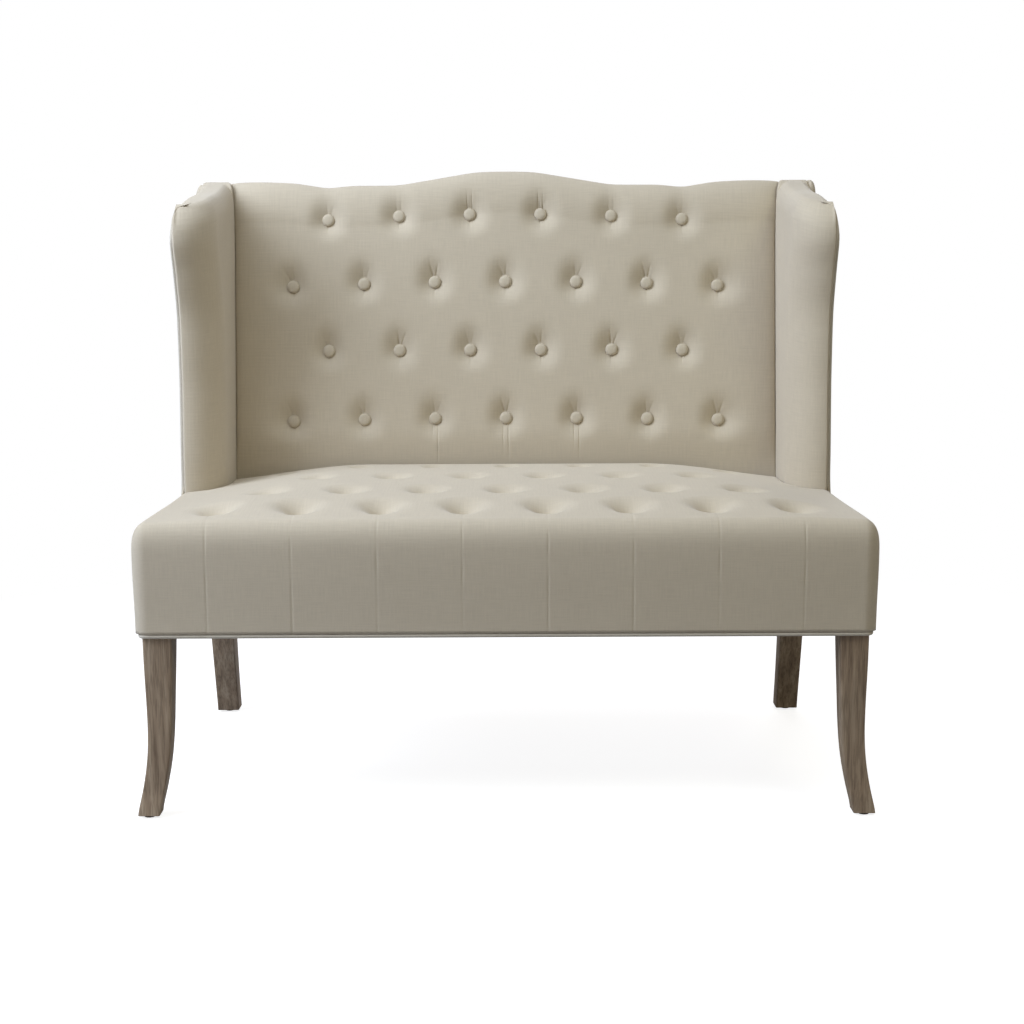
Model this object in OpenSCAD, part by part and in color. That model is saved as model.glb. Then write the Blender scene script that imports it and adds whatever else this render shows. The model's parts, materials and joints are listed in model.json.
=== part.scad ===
// High back settee with wings, a button tufted seat and back, and four curved legs.
// Sizes are millimetres. X runs along the seat, Y from the front to the back, Z up.
// The origin is on the floor, under the middle of the settee's outside box.

/* [Seat] */
// Width of the seat over its fabric
seat_w = 1200; // [1040:10:1400]
// Depth from the seat's front to the face of the back, at the seat
seat_depth = 548; // [520:2:570]
// Height of the seat's front edge over the tops of the legs
seat_build = 185; // [170:5:210]
// Rise of the seat's crown over its front edge
seat_crown = 32; // [20:1:45]
// Radius of the seat's top edges
seat_edge_r = 30; // [20:1:36]
// Radius of the seat's front corners, seen from above
seat_corner_r = 24; // [16:1:36]
// Thickness of cover and wadding over the rails
cover_t = 9; // [7:1:14]

/* [Back] */
// Height of the crest at its middle
crest_h = 1076; // [1040:2:1120]
// Drop from the crest to the shelf beside it
shelf_drop = 26; // [14:1:36]
// Rise of the shoulders over the shelf
shoulder_rise = 8; // [0:1:14]
// Depth of the notch between shelf and shoulder
crest_dip = 5; // [0:1:9]
// Lean of the tufted face, in degrees
face_lean = 8.1; // [6:0.1:9]
// Lean of the rear posts, in degrees
post_lean = 3.9; // [2:0.1:4.2]
// Radius of the roll along the crest
crest_r = 30; // [22:1:36]
// Radius of the soft corner between back and wing
corner_fill_r = 60; // [40:1:66]

/* [Wings] */
// Distance from the seat's front to the wing's front, at the seat
wing_setback = 392; // [380:2:410]
// Width of the wing's rolled front
wing_w = 104; // [90:1:120]
// Fall of the wing's top, from rear to front
wing_fall = 48; // [30:2:60]
// How far the wing's top leans out to the front
wing_bulge = 38; // [10:2:46]
// Radius of the wing's rolled edges
wing_r = 24; // [14:1:28]

/* [Tufting] */
// Distance from the seat's side to its first column of buttons
seat_side_in = 117; // [108:1:130]
// Distance from the seat's last row of buttons to the back
seat_last_row = 35; // [30:1:44]
// Distance from the seat's front to its first row of buttons
seat_first_row = 120; // [108:1:130]
// Depth of a seat tuft
seat_tuft = 24; // [14:1:30]
// Distance from the wing's inner face to the back's first column of buttons
back_side_in = 83; // [80:1:96]
// Height of the back's lowest row of buttons over the seat's front edge
back_row_up = 117; // [105:1:130]
// Distance from the crest down to the back's highest row
back_last_row = 85; // [80:1:96]
// Depth of a back tuft
back_tuft = 14; // [8:1:16]
// Diameter of a covered button
button_d = 23; // [18:1:25]

/* [Frame] */
// Height of the legs, floor to rails
leg_h = 305; // [280:5:320]
// Side of a leg at its top
leg_side = 48; // [42:1:54]
// Side of a leg at its foot
foot_side = 36; // [30:1:42]
// Sideways sweep of a front foot
front_sweep = 25; // [10:1:32]
// Backward sweep of a rear foot
rear_sweep = 53; // [30:1:60]
// Thickness from the back's face to the rear posts, at the seat
back_build = 55; // [52:1:66]
// Height of the seat rails
rail_h = 90; // [70:2:100]
// Thickness of the seat rails
rail_t = 22; // [18:1:26]
// Height of a foot glide
glide_h = 5; // [3:0.5:8]
// Diameter of a hanger bolt
bolt_d = 8; // [6:1:10]
// Number of seat springs
spring_count = 9; // [7:1:10]

/* [Hidden] */
$fn = 32;

linen = [0.80, 0.77, 0.69];
linen_dark = [0.72, 0.69, 0.61];
oak = [0.56, 0.48, 0.40];
pine = [0.85, 0.72, 0.52];
foam_yellow = [0.93, 0.90, 0.72];
steel = [0.62, 0.62, 0.64];
felt = [0.45, 0.44, 0.42];
webbing = [0.30, 0.30, 0.31];
twine = [0.90, 0.87, 0.78];
cambric = [0.12, 0.12, 0.13];

overrun = 20;           // how far a cut runs past what it cuts
fit_gap = 0.3;          // gap left between two pieces that touch

// depth chain, from the front to the back
post_setback = seat_depth + back_build;
overall_d = post_setback + leg_side + rear_sweep;
front_y = -overall_d / 2;
post_y = front_y + post_setback;
wing_y = front_y + wing_setback;
face_y = front_y + seat_depth;
rail_y = front_y + cover_t;
frame_x = seat_w / 2 - cover_t;
inner_x = frame_x - leg_side;
rail_top = leg_h + rail_h;
seat_edge_h = leg_h + seat_build;
back_first_row = seat_edge_h + back_row_up;

taper_lean = 1.1;       // degrees that a post's front leans beyond its rear
panel_t = 4;            // outside cover on its backing board
wing_h = crest_h - shelf_drop + shoulder_rise;
rear_y = post_y + leg_side;
wing_out = frame_x;
wing_in = frame_x + panel_t - wing_w;
side_inner = frame_x - rail_t;
front_inner = rail_y + rail_t;
rear_inner = rear_y - rail_t;
front_leg_y = rail_y + leg_side;

// faces of the leaning post and of the tufted back, at a height
function above(z) = max(0, z - rail_top);
function post_front(z) = post_y + above(z) * tan(post_lean + taper_lean);
function post_rear(z) = rear_y + above(z) * tan(post_lean);
function face_at(z) = face_y + (z - seat_edge_h) * tan(face_lean);

function smooth(t) = let(u = min(1, max(0, t))) u * u * (3 - 2 * u);
function flip(list) = [for (i = [len(list) - 1 : -1 : 0]) list[i]];

module mirrored(side) {
    scale_x = side == "left" ? 1 : 0;
    mirror([scale_x, 0, 0]) children();
}

// ---- faces of a loft: rings of points joined one to the next, both ends closed ----
function ring_faces(rings, n) = [
    for (i = [0 : rings - 2], j = [0 : n - 1])
        let(a = i * n + j, b = i * n + (j + 1) % n)
        each [[a, b, b + n], [a, b + n, a + n]]
];
function fan_faces(first, n, hub, up) = [
    for (j = [0 : n - 1])
        let(a = first + j, b = first + (j + 1) % n)
        up ? [a, b, hub] : [b, a, hub]
];
// closes a ring whose two halves run side by side, as the rungs of a ladder
function ladder_faces(first, n, up) = [
    for (k = [0 : floor(n / 2) - 2])
        let(a = first + k, b = first + n - 1 - k)
        each up ? [[a, a + 1, b], [a + 1, b - 1, b]] : [[a + 1, a, b], [b - 1, a + 1, b]]
];

// a smooth curve through hand-placed points
function curve_point(a, b, c, d, t) =
    0.5 * (2 * b + (c - a) * t + (2 * a - 5 * b + 4 * c - d) * t * t
        + (3 * b - a - 3 * c + d) * t * t * t);
function curve(points, steps) = let(last = len(points) - 1) [
    for (i = [0 : last - 1], s = [0 : steps - 1])
        curve_point(points[max(0, i - 1)], points[i], points[i + 1],
            points[min(last, i + 2)], s / steps),
    points[last]
];
function unit(v) = v / norm(v);
// normals that point to the right of a curve's run
function normals(points) = let(last = len(points) - 1) [
    for (i = [0 : last])
        let(v = points[min(last, i + 1)] - points[max(0, i - 1)])
        unit([v.y, -v.x])
];

// box from one corner to the other
module block(low, high) {
    translate(low) cube(high - low);
}
// an outline drawn in Y and Z, run along X
module side_prism(x_low, x_high, outline) {
    translate([x_low, 0, 0]) rotate([90, 0, 90]) linear_extrude(x_high - x_low) polygon(outline);
}
// the other side of the settee
module on_left() {
    mirror([1, 0, 0]) children();
}
// the rear corner, from what is made for the front one
module at_rear() {
    translate([0, rail_y + rear_y, 0]) mirror([0, 1, 0]) children();
}
module four_corners() {
    children();
    on_left() children();
    at_rear() children();
    on_left() at_rear() children();
}

// hanger bolts, on the diagonal through each corner block
bore_gap = 0.5;
bolt_z = leg_h + rail_h / 2;
block_reach = leg_side * 1.5;
block_h = rail_h * 0.66;
block_low = bolt_z - block_h / 2;
block_t = (block_reach - (leg_side - rail_t)) / sqrt(2);
bolt_in_leg = leg_side * 0.55;
washer_d = bolt_d * 2.6;
washer_t = bolt_d * 0.2;
nut_d = bolt_d * 1.85;
nut_t = bolt_d * 0.8;
bolt_tail = bolt_d * 0.5;
bolt_len = bolt_in_leg + block_t + washer_t + nut_t + bolt_tail;

// bolt's axis as +Z, from the front leg's inner corner
module at_bolt() {
    translate([inner_x, front_leg_y, bolt_z]) rotate([0, 0, 135]) rotate([0, 90, 0]) children();
}
module bolt_bore() {
    at_bolt() translate([0, 0, -bolt_in_leg - bore_gap])
        cylinder(d = bolt_d + bore_gap, h = bolt_len + overrun);
}
module one_bolt() {
    at_bolt() translate([0, 0, -bolt_in_leg]) cylinder(d = bolt_d, h = bolt_len);
}
module one_washer() {
    at_bolt() translate([0, 0, block_t]) difference() {
        cylinder(d = washer_d, h = washer_t);
        translate([0, 0, -washer_t]) cylinder(d = bolt_d + bore_gap, h = washer_t * 3);
    }
}
module one_nut() {
    at_bolt() translate([0, 0, block_t + washer_t]) difference() {
        cylinder(d = nut_d, h = nut_t, $fn = 6);
        translate([0, 0, -nut_t]) cylinder(d = bolt_d + bore_gap, h = nut_t * 3);
    }
}
module one_corner_block() {
    difference() {
        translate([0, 0, block_low]) linear_extrude(block_h) polygon([
            [inner_x, front_inner], [inner_x - block_reach, front_inner],
            [side_inner, front_leg_y + block_reach], [side_inner, front_leg_y],
            [inner_x, front_leg_y]
        ]);
        bolt_bore();
    }
}
module hanger_bolts() { color(steel) four_corners() one_bolt(); }
module bolt_washers() { color(steel) four_corners() one_washer(); }
module bolt_nuts() { color(steel) four_corners() one_nut(); }
module corner_block_front_right() { color(pine) one_corner_block(); }
module corner_block_front_left() { color(pine) on_left() one_corner_block(); }
module corner_block_rear_right() { color(pine) at_rear() one_corner_block(); }
module corner_block_rear_left() { color(pine) on_left() at_rear() one_corner_block(); }

// legs: squares with eased edges, one ring above the other
leg_ease = leg_side / 12;
leg_turn = leg_side / 2;
front_centre = [inner_x + leg_turn, rail_y + leg_turn];
rear_foot_side = foot_side * 1.18;
rear_centre_y = post_y + leg_turn;
rear_run = overall_d / 2 - rear_foot_side / 2 - rear_centre_y;
front_forward = front_sweep * 0.35;
// height up the leg, sweep of its centre, and how far its side is from the foot's
front_leg_shares = [
    [0, 1, 0], [0.05, 0.84, 0], [0.11, 0.66, 0], [0.19, 0.46, 0.03], [0.29, 0.26, 0.08],
    [0.40, 0.13, 0.16], [0.52, 0.07, 0.30], [0.66, 0.05, 0.50], [0.82, 0.03, 0.78], [1, 0, 1]
];
rear_leg_shares = [
    [0, 1, 0], [0.12, 0.82, 0.04], [0.25, 0.63, 0.12], [0.38, 0.45, 0.24],
    [0.52, 0.28, 0.40], [0.66, 0.14, 0.58], [0.82, 0.04, 0.80], [1, 0, 1]
];
function eased_square(c, side, deep, z) = let(a = side / 2, b = deep / 2, e = leg_ease) [
    [c.x + a, c.y - b + e, z], [c.x + a, c.y + b - e, z],
    [c.x + a - e, c.y + b, z], [c.x - a + e, c.y + b, z],
    [c.x - a, c.y + b - e, z], [c.x - a, c.y - b + e, z],
    [c.x - a + e, c.y - b, z], [c.x + a - e, c.y - b, z]
];
module loft(rings) {
    n = len(rings[0]);
    count = len(rings);
    base = n * count;
    points = [for (r = rings) each r];
    hubs = [for (r = [rings[0], rings[count - 1]]) [for (p = r) 1] * r / n];
    polyhedron(
        points = concat(points, hubs),
        faces = [for (f = concat(ring_faces(count, n), fan_faces(0, n, base, false),
            fan_faces(base - n, n, base + 1, true))) [f[2], f[1], f[0]]]
    );
}
module glide_bore(c) {
    translate([c.x, c.y, 0]) cylinder(d = pin_d + bore_gap, h = glide_h + pin_len + bore_gap);
}
glide_d = foot_side / 2;
pin_d = glide_h * 0.6;
pin_len = foot_side / 2;
front_foot = front_centre + [front_sweep, -front_forward];
rear_foot = [front_centre.x, rear_centre_y + rear_run];

module front_leg() {
    rings = [for (s = front_leg_shares) eased_square(
        front_centre + [front_sweep, -front_forward] * s[1],
        foot_side + (leg_side - foot_side) * s[2], foot_side + (leg_side - foot_side) * s[2],
        glide_h + (leg_h - glide_h) * s[0])];
    difference() {
        loft(concat(rings, [eased_square(front_centre, leg_side, leg_side, rail_top)]));
        bolt_bore();
        glide_bore(front_foot);
    }
}
post_top = wing_h - crest_r * 1.9;
module rear_post() {
    rings = [for (s = rear_leg_shares) let(
            side = rear_foot_side + (leg_side - rear_foot_side) * s[2])
        eased_square([front_centre.x, rear_centre_y + rear_run * s[1]], side, side,
            glide_h + (leg_h - glide_h) * s[0])];
    uppers = [for (z = [rail_top, (rail_top + post_top) / 2, post_top]) let(
            deep = post_rear(z) - post_front(z))
        eased_square([front_centre.x, post_front(z) + deep / 2], leg_side, deep, z)];
    difference() {
        loft(concat(rings, uppers));
        at_rear() bolt_bore();
        glide_bore(rear_foot);
    }
}
module front_leg_right() { color(oak) front_leg(); }
module front_leg_left() { color(oak) on_left() front_leg(); }
module rear_post_right() { color(oak) rear_post(); }
module rear_post_left() { color(oak) on_left() rear_post(); }

module one_glide(c) {
    translate([c.x, c.y, 0]) {
        cylinder(d = glide_d, h = glide_h);
        cylinder(d = pin_d, h = glide_h + pin_len);
    }
}
module foot_glides() {
    color(cambric) for (c = [front_foot, rear_foot]) {
        one_glide(c);
        on_left() one_glide(c);
    }
}

// seat rails
module front_rail() {
    color(pine) block([-inner_x, rail_y, leg_h], [inner_x, front_inner, rail_top]);
}
module rear_rail() {
    color(pine) block([-inner_x, rear_inner, leg_h], [inner_x, rear_y, rail_top]);
}
module side_rail() {
    block([side_inner, front_leg_y, leg_h], [frame_x, post_y, rail_top]);
}
module side_rail_right() { color(pine) side_rail(); }
module side_rail_left() { color(pine) on_left() side_rail(); }
cross_h = rail_h * 0.55;
module seat_cross_rail() {
    color(pine) block([-rail_t / 2, front_inner, leg_h],
        [rail_t / 2, rear_inner, leg_h + cross_h]);
}

// seat springs: flat bends of one wire, from the front rail to the rear rail
wire_t = 3.5;
spring_bends = 8;
bend_w = 44;
spring_end = rail_t * 0.7;
felt_t = 4;
spring_step = (inner_x * 2 - bend_w * 2) / (spring_count - 1);
spring_front = rail_y + rail_t - spring_end;
spring_run = rear_inner + spring_end - spring_front;
spring_xs = [for (i = [0 : spring_count - 1]) (i - (spring_count - 1) / 2) * spring_step];
clip_w = wire_t * 3;
clip_t = wire_t * 0.4;
spring_top = rail_top + wire_t;

function spring_line() = let(pitch = (spring_run - spring_end * 2) / spring_bends) concat(
    [[0, 0], [0, spring_end]],
    [for (i = [0 : spring_bends - 1], s = [0.2, 0.8])
        [(i % 2 == 0 ? 1 : -1) * bend_w / 2, spring_end + (i + s) * pitch]],
    [[0, spring_run - spring_end], [0, spring_run]]
);
module seat_springs() {
    line = spring_line();
    side = normals(line) * (wire_t / 2);
    outline = concat(line + side, flip(line - side));
    color(steel) for (x = spring_xs)
        translate([x, spring_front, rail_top]) linear_extrude(wire_t) polygon(outline);
}
module spring_clips() {
    low = spring_top + fit_gap;
    out = clip_w;
    leg = clip_w - clip_t;
    color(steel) for (x = spring_xs, y = [rail_y + rail_t / 2, rear_y - rail_t / 2])
        translate([x, y + clip_w / 2, 0]) rotate([90, 0, 0]) linear_extrude(clip_w) polygon([
            [-out, rail_top], [-leg, rail_top], [-leg, low], [leg, low], [leg, rail_top],
            [out, rail_top], [out, low + clip_t], [-out, low + clip_t]
        ]);
}
wire_low = spring_top;
wire_low_t = wire_t * 0.6;
module spring_wires() {
    third = (rear_inner - front_inner) / 3;
    half = spring_step * (spring_count - 1) / 2 + bend_w;
    color(steel) for (y = [front_inner + third, rear_inner - third])
        block([-half, y - wire_low_t, wire_low], [half, y + wire_low_t, wire_low + wire_low_t]);
}
felt_low = spring_top + wire_low_t + clip_t;
felt_top = felt_low + felt_t;
module spring_pad() {
    color(felt) difference() {
        block([-side_inner, rail_y, felt_low], [side_inner, rear_inner, felt_top]);
        seat_tie_cuts();
    }
}

// foam of the seat, narrower between the wings
foam_gap = 0.5;
seat_foam_top = seat_edge_h - seat_edge_r - leg_ease;
seat_rear = face_at(felt_top) - fit_gap;
module seat_foam() {
    notch_x = wing_in - fit_gap * 2;
    color(foam_yellow) difference() {
        translate([0, 0, felt_top]) linear_extrude(seat_foam_top - felt_top) polygon([
            [-frame_x, rail_y], [frame_x, rail_y], [frame_x, wing_y - cover_t],
            [notch_x, wing_y - cover_t], [notch_x, seat_rear], [-notch_x, seat_rear],
            [-notch_x, wing_y - cover_t], [-frame_x, wing_y - cover_t]
        ]);
        seat_tie_cuts();
    }
}

// buttons of the seat: rows of eight and seven, each row set between the last one's
flat_margin = 1.5;
flat_r = button_d / 2 + flat_margin;
last_row = 3;           // rows are counted from nought
seat_pitch = (seat_w - seat_side_in * 2) / 7;
seat_row_pitch = (seat_depth - seat_first_row - seat_last_row) / last_row;
tuft_reach = seat_pitch * 0.4;
seat_rows = [for (r = [0 : last_row]) front_y + seat_first_row + r * seat_row_pitch];
seat_row_xs = [[1, 3, 5, 7], [0, 2, 4, 6], [1, 3, 5], [0, 2, 4, 6]];
seat_spots = [for (r = [0 : last_row], k = seat_row_xs[r], s = [-1, 1])
    if (k > 0 || s > 0) [s * k * seat_pitch / 2, seat_rows[r]]];
tie_d = 1.6;
module seat_tie_cuts() {
    for (p = seat_spots) translate([p.x, p.y, felt_low - overrun])
        cylinder(d = tie_d + bore_gap, h = seat_foam_top - felt_low + overrun * 2, $fn = 6);
}
module seat_button_ties() {
    color(twine) for (p = seat_spots) translate([p.x, p.y, felt_low])
        cylinder(d = tie_d, h = seat_foam_top - felt_low, $fn = 6);
}
function tuft_at(d, reach) = d <= flat_r * 1.5 ? 1
    : d >= reach ? 0 : let(t = (d - flat_r * 1.5) / (reach - flat_r * 1.5)) pow(1 - t, 2);
function nearest(p, spots) = min([for (q = spots) norm(p - q)]);

// top of the seat: a crown over rounded edges, with a dimple at each button
function edge_drop(d, r) = d >= r ? 0 : r - sqrt(max(0, r * r - pow(r - d, 2)));
crown_run = seat_first_row * 1.25;
// run of the crown's fall to each side, in button pitches: at the front, and more at the back
crown_side_shares = [0.9, 1.6];
function crown_side(ahead) = seat_pitch
    * (crown_side_shares[0] + crown_side_shares[1] * max(0, ahead) / seat_depth);
function seat_top(x, y) = let(
        side = seat_w / 2 - abs(x), ahead = y - front_y,
        rise = smooth(ahead / crown_run) * smooth(side / crown_side(ahead)))
    seat_edge_h + seat_crown * rise - edge_drop(min(side, ahead), seat_edge_r);
function nearest_spot(p, spots) = let(d = [for (q = spots) norm(p - q)])
    spots[search(min(d), d)[0]];
function seat_surface(x, y) = let(
        q = nearest_spot([x, y], seat_spots), d = norm([x, y] - q))
    d <= flat_r * 1.5 ? seat_top(q.x, q.y) - seat_tuft
        : seat_top(x, y) - seat_tuft * tuft_at(d, tuft_reach);

edge_shares = [0, 0.08, 0.3, 0.62, 1];
half_xs = concat(
    [for (k = [0 : 7]) each k == 0 ? [flat_r] : [k * seat_pitch / 2 - flat_r, k * seat_pitch / 2 + flat_r]],
    [for (s = flip(edge_shares)) seat_w / 2 - s * seat_edge_r]
);
grid_xs = concat(-flip(half_xs), half_xs);
pad_rear = face_at(seat_edge_h) - fit_gap;
mid_rows = [seat_rows[0] - seat_row_pitch * 0.4, for (r = [0 : 2]) (seat_rows[r] + seat_rows[r + 1]) / 2];
grid_ys = concat(
    [for (s = edge_shares) front_y + s * seat_edge_r],
    [mid_rows[0]],
    [for (r = [0 : last_row]) each concat([seat_rows[r] - flat_r, seat_rows[r] + flat_r],
        r < last_row ? [mid_rows[r + 1]] : [])],
    [pad_rear]
);
// front corners of the plan, drawn round
function round_corner(p) = let(
        cx = seat_w / 2 - seat_corner_r, cy = front_y + seat_corner_r,
        q = [abs(p.x) - cx, cy - p.y])
    q.x <= 0 || q.y <= 0 ? p
        : let(v = q * (max(q) / norm(q))) [(p.x < 0 ? -1 : 1) * (cx + v.x), cy - v.y];
welt_d = 7;
skirt_low = leg_h + welt_d;
skirt_tuck = cover_t * 0.55;
wall_shares = [[0.35, 0], [0.7, 0.4], [1, 1]];
module seat_form() {
    nx = len(grid_xs);
    ny = len(grid_ys);
    wall_top = seat_edge_h - seat_edge_r;
    top = [for (y = grid_ys, x = grid_xs) let(p = round_corner([x, y])) [p.x, p.y, seat_surface(x, y)]];
    loop = concat([for (i = [0 : nx - 2]) i], [for (j = [0 : ny - 2]) j * nx + nx - 1],
        [for (i = [nx - 1 : -1 : 1]) (ny - 1) * nx + i], [for (j = [ny - 1 : -1 : 1]) j * nx]);
    n = len(loop);
    walls = [for (w = wall_shares, i = loop) let(
            p = top[i], rear = i >= (ny - 1) * nx,
            z = min(wall_top, p.z) + (skirt_low - min(wall_top, p.z)) * w[0],
            t = 1 - w[1] * skirt_tuck / (seat_w / 2))
        [p.x * t, rear ? face_at(z) - fit_gap : p.y * t, z]];
    base = nx * ny;
    last = base + n * len(wall_shares);
    polyhedron(
        points = concat(top, walls, [[0, 0, skirt_low]]),
        faces = concat(
            [for (j = [0 : ny - 2], i = [0 : nx - 2]) let(a = j * nx + i)
                each (i + j) % 2 == 0 ? [[a, a + nx, a + 1], [a + 1, a + nx, a + nx + 1]]
                    : [[a, a + nx, a + nx + 1], [a, a + nx + 1, a + 1]]],
            [for (k = [0 : n - 1]) let(a = loop[k], b = loop[(k + 1) % n], c = base + k, d = base + (k + 1) % n)
                each [[a, b, c], [b, d, c]]],
            [for (r = [0 : len(wall_shares) - 2], k = [0 : n - 1]) let(
                    a = base + r * n + k, b = base + r * n + (k + 1) % n)
                each [[a, b, a + n], [b, b + n, a + n]]],
            [for (k = [0 : n - 1]) [last - n + k, last - n + (k + 1) % n, last]]
        )
    );
}
module seat_pad() {
    color(linen) difference() {
        seat_form();
        block([-frame_x - fit_gap, rail_y - fit_gap, skirt_low - overrun],
            [frame_x + fit_gap, face_y + overrun, seat_foam_top]);
        for (s = [-1, 1]) translate([s > 0 ? wing_in - fit_gap : -wing_in + fit_gap - seat_w,
                wing_y - fit_gap, skirt_low - overrun])
            cube([seat_w, seat_depth, seat_edge_h]);
    }
}

// crest line: a raised middle, a shelf, a small dip and a shoulder on each side
hump_shares = [[0, 0], [0.06, 0.01], [0.12, 0.06], [0.26, 0.5], [0.40, 0.94], [0.46, 1], [2, 1]];
dip_shares = [[0, 0], [0.60, 0], [0.66, 0.6], [0.70, 1], [0.74, 0.6], [0.82, 0], [2, 0]];
shoulder_shares = [[0, 0], [0.70, 0], [0.82, 0.6], [0.92, 1], [2, 1]];
function crest_at(x) = let(u = abs(x) / wing_in)
    crest_h - shelf_drop * lookup(u, hump_shares) - crest_dip * lookup(u, dip_shares)
    + shoulder_rise * lookup(u, shoulder_shares);

// buttons of the back: rows of seven and six, counted from the seat up
back_pitch = (wing_in - back_side_in) / last_row;
back_row_pitch = (crest_h - back_last_row - back_first_row) / last_row;
back_rows = [for (r = [0 : last_row]) back_first_row + r * back_row_pitch];
back_row_xs = [[0, 2, 4, 6], [1, 3, 5], [0, 2, 4, 6], [1, 3, 5]];
back_spots = [for (r = [0 : last_row], k = back_row_xs[r], s = [-1, 1])
    if (k > 0 || s > 0) [s * k * back_pitch / 2, back_rows[r]]];
back_reach = back_pitch * 0.38;
pad_t = back_tuft + leg_ease;
back_low = seat_foam_top;
back_cut_top = crest_h - shelf_drop - crest_dip - crest_r * 1.2;

// how far the soft corner comes forward beside a wing, less and less towards the crest
fill_fade = 0.8;
fill_edge = wing_in - fit_gap * 3;
function corner_fill(x, z) = let(
        d = fill_edge - abs(x), u = (z - back_rows[2]) / (crest_h - back_rows[2]))
    d < 0 || d >= corner_fill_r ? 0 : (1 - fill_fade * smooth(u))
        * (corner_fill_r - sqrt(pow(corner_fill_r, 2) - pow(corner_fill_r - d, 2)));
function back_surface(x, z) = face_at(z) - corner_fill(x, z)
    + back_tuft * tuft_at(nearest([x, z], back_spots), back_reach);

fill_shares = [1, 0.74, 0.44, 0.2, 0.06, 0];
back_half_xs = concat(
    [for (k = [0 : 6]) each k == 0 ? [flat_r] : [k * back_pitch / 2 - flat_r, k * back_pitch / 2 + flat_r]],
    [for (s = fill_shares) fill_edge - corner_fill_r * s],
    [wing_in - fit_gap, (wing_in + side_inner) / 2, side_inner - fit_gap]
);
back_xs = concat(-flip(back_half_xs), back_half_xs);
back_zs = concat(
    [back_low, (back_low + back_rows[0] - flat_r) / 2 + flat_r],
    [for (r = [0 : last_row]) each concat([back_rows[r] - flat_r, back_rows[r] + flat_r],
        r < last_row ? [(back_rows[r] + back_rows[r + 1]) / 2] : [])]
);
roll_shares = [0, 22.5, 45, 67.5, 90];
function over_crest(x) = let(
        top = crest_at(x), rise = top - crest_r,
        ahead = face_at(rise) - corner_fill(x, rise), behind = post_rear(rise) + panel_t)
    concat(
        [for (a = roll_shares) [x, ahead + crest_r * (1 - cos(a)), rise + crest_r * sin(a)]],
        [for (a = [90, 45, 0]) [x, behind - crest_r * (1 - cos(a)), rise + crest_r * sin(a)]],
        [[x, post_rear(back_cut_top) + panel_t, back_cut_top]]
    );
// one slice of the back: up its face, over the crest, and back down inside
function back_ring(x) = concat(
    [for (z = back_zs) [x, back_surface(x, z), z]],
    over_crest(x),
    [[x, face_at(back_cut_top) + pad_t, back_cut_top], [x, face_at(back_low) + pad_t, back_low]]
);
// a loft whose end slices are closed by a fan from one of their own corners
module fan_loft(rings, hub) {
    n = len(rings[0]);
    count = len(rings);
    base = n * (count - 1);
    ends = [for (k = [1 : n - 2]) [(hub + k) % n, (hub + k + 1) % n]];
    polyhedron(
        points = [for (r = rings) each r],
        faces = concat(ring_faces(count, n),
            [for (e = ends) [hub, e[1], e[0]]],
            [for (e = ends) [base + hub, base + e[0], base + e[1]]])
    );
}
module crest_end() {
    xs = [side_inner - fit_gap / 2, (side_inner + frame_x) / 2, frame_x];
    loft([for (x = xs) flip(concat([[x, face_at(back_cut_top), back_cut_top]], over_crest(x)))]);
}
module back_pad() {
    color(linen) {
        fan_loft([for (x = back_xs) back_ring(x)], len(back_ring(0)) - 2);
        crest_end();
        on_left() crest_end();
    }
}

// wings: the front edge leans back, then swells forward to a rounded top
wing_low = felt_top + fit_gap;
front_shares = [
    [-1, 0], [0.1, 0], [0.35, 0.3], [0.54, 0.26], [0.6, 0.12], [0.655, -0.18], [0.73, -0.53],
    [0.77, -0.87], [0.805, -1], [0.854, -0.92], [0.9, -0.7], [1, -0.4]
];
fall_shares = [[0, 1.2], [0.13, 1.08], [0.28, 1], [0.46, 0.92], [0.71, 0.77], [0.84, 0.62], [1, 0.44]];
function wing_front(z) = wing_y
    + wing_bulge * lookup((z - seat_edge_h) / (wing_h - seat_edge_h), front_shares);
wing_top_front = wing_front(wing_h - wing_fall * 2);
wing_top_rear = face_at(wing_h);
function wing_top(y) = wing_h - wing_fall
    * lookup((y - wing_top_front) / (wing_top_rear - wing_top_front), fall_shares);

wing_mid = (wing_in + wing_out) / 2;
wing_half = (wing_out - wing_in) / 2;
// half a plan ring, from the rear to the middle of the front: share of half width, of
// the way to the front, and of the edge radius that is left to go
wing_plan_shares = [[1, 0, 0], [1, 0.5, 0], [1, 1, 1], [0.9, 1, 0.5], [0.74, 1, 0.22], [0.5, 1, 0.06], [0.16, 1, 0]];
wing_level_shares = [0, 0.14, 0.3, 0.44, 0.58, 0.66, 0.73, 0.79, 0.85, 0.92, 1];
wing_roll_shares = [25, 50, 72, 90];
function wing_point(s, side, t, a) = let(
        inset = wing_r * (1 - cos(a)),
        y_guess = wing_top_rear + (wing_top_front + wing_r * s[2] - wing_top_rear) * s[1],
        top = wing_top(y_guess) - wing_r,
        z = wing_low + t * (top - wing_low) + wing_r * sin(a),
        ahead = wing_front(z) + wing_r * s[2] + inset,
        behind = face_at(z) - fit_gap)
    [wing_mid + side * max(0, wing_half * s[0] - inset * (s[0] > 0.5 ? 1 : 0.3)),
        behind + (ahead - behind) * s[1], z];
function wing_ring(t, a) = concat(
    [for (s = wing_plan_shares) wing_point(s, 1, t, a)],
    [for (s = flip(wing_plan_shares)) wing_point(s, -1, t, a)]
);
module ladder_loft(rings) {
    n = len(rings[0]);
    count = len(rings);
    polyhedron(
        points = [for (r = rings) each r],
        faces = concat(ring_faces(count, n), ladder_faces(0, n, false),
            ladder_faces(n * (count - 1), n, true))
    );
}
board_set = wing_r + welt_d;
board_zs = [rail_top, (rail_top + seat_edge_h) / 2, for (v = [0.1, 0.35, 0.54, 0.655, 0.77, 0.82])
    seat_edge_h + (wing_h - seat_edge_h) * v];
board_top = wing_h - wing_fall * 1.9;
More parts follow.
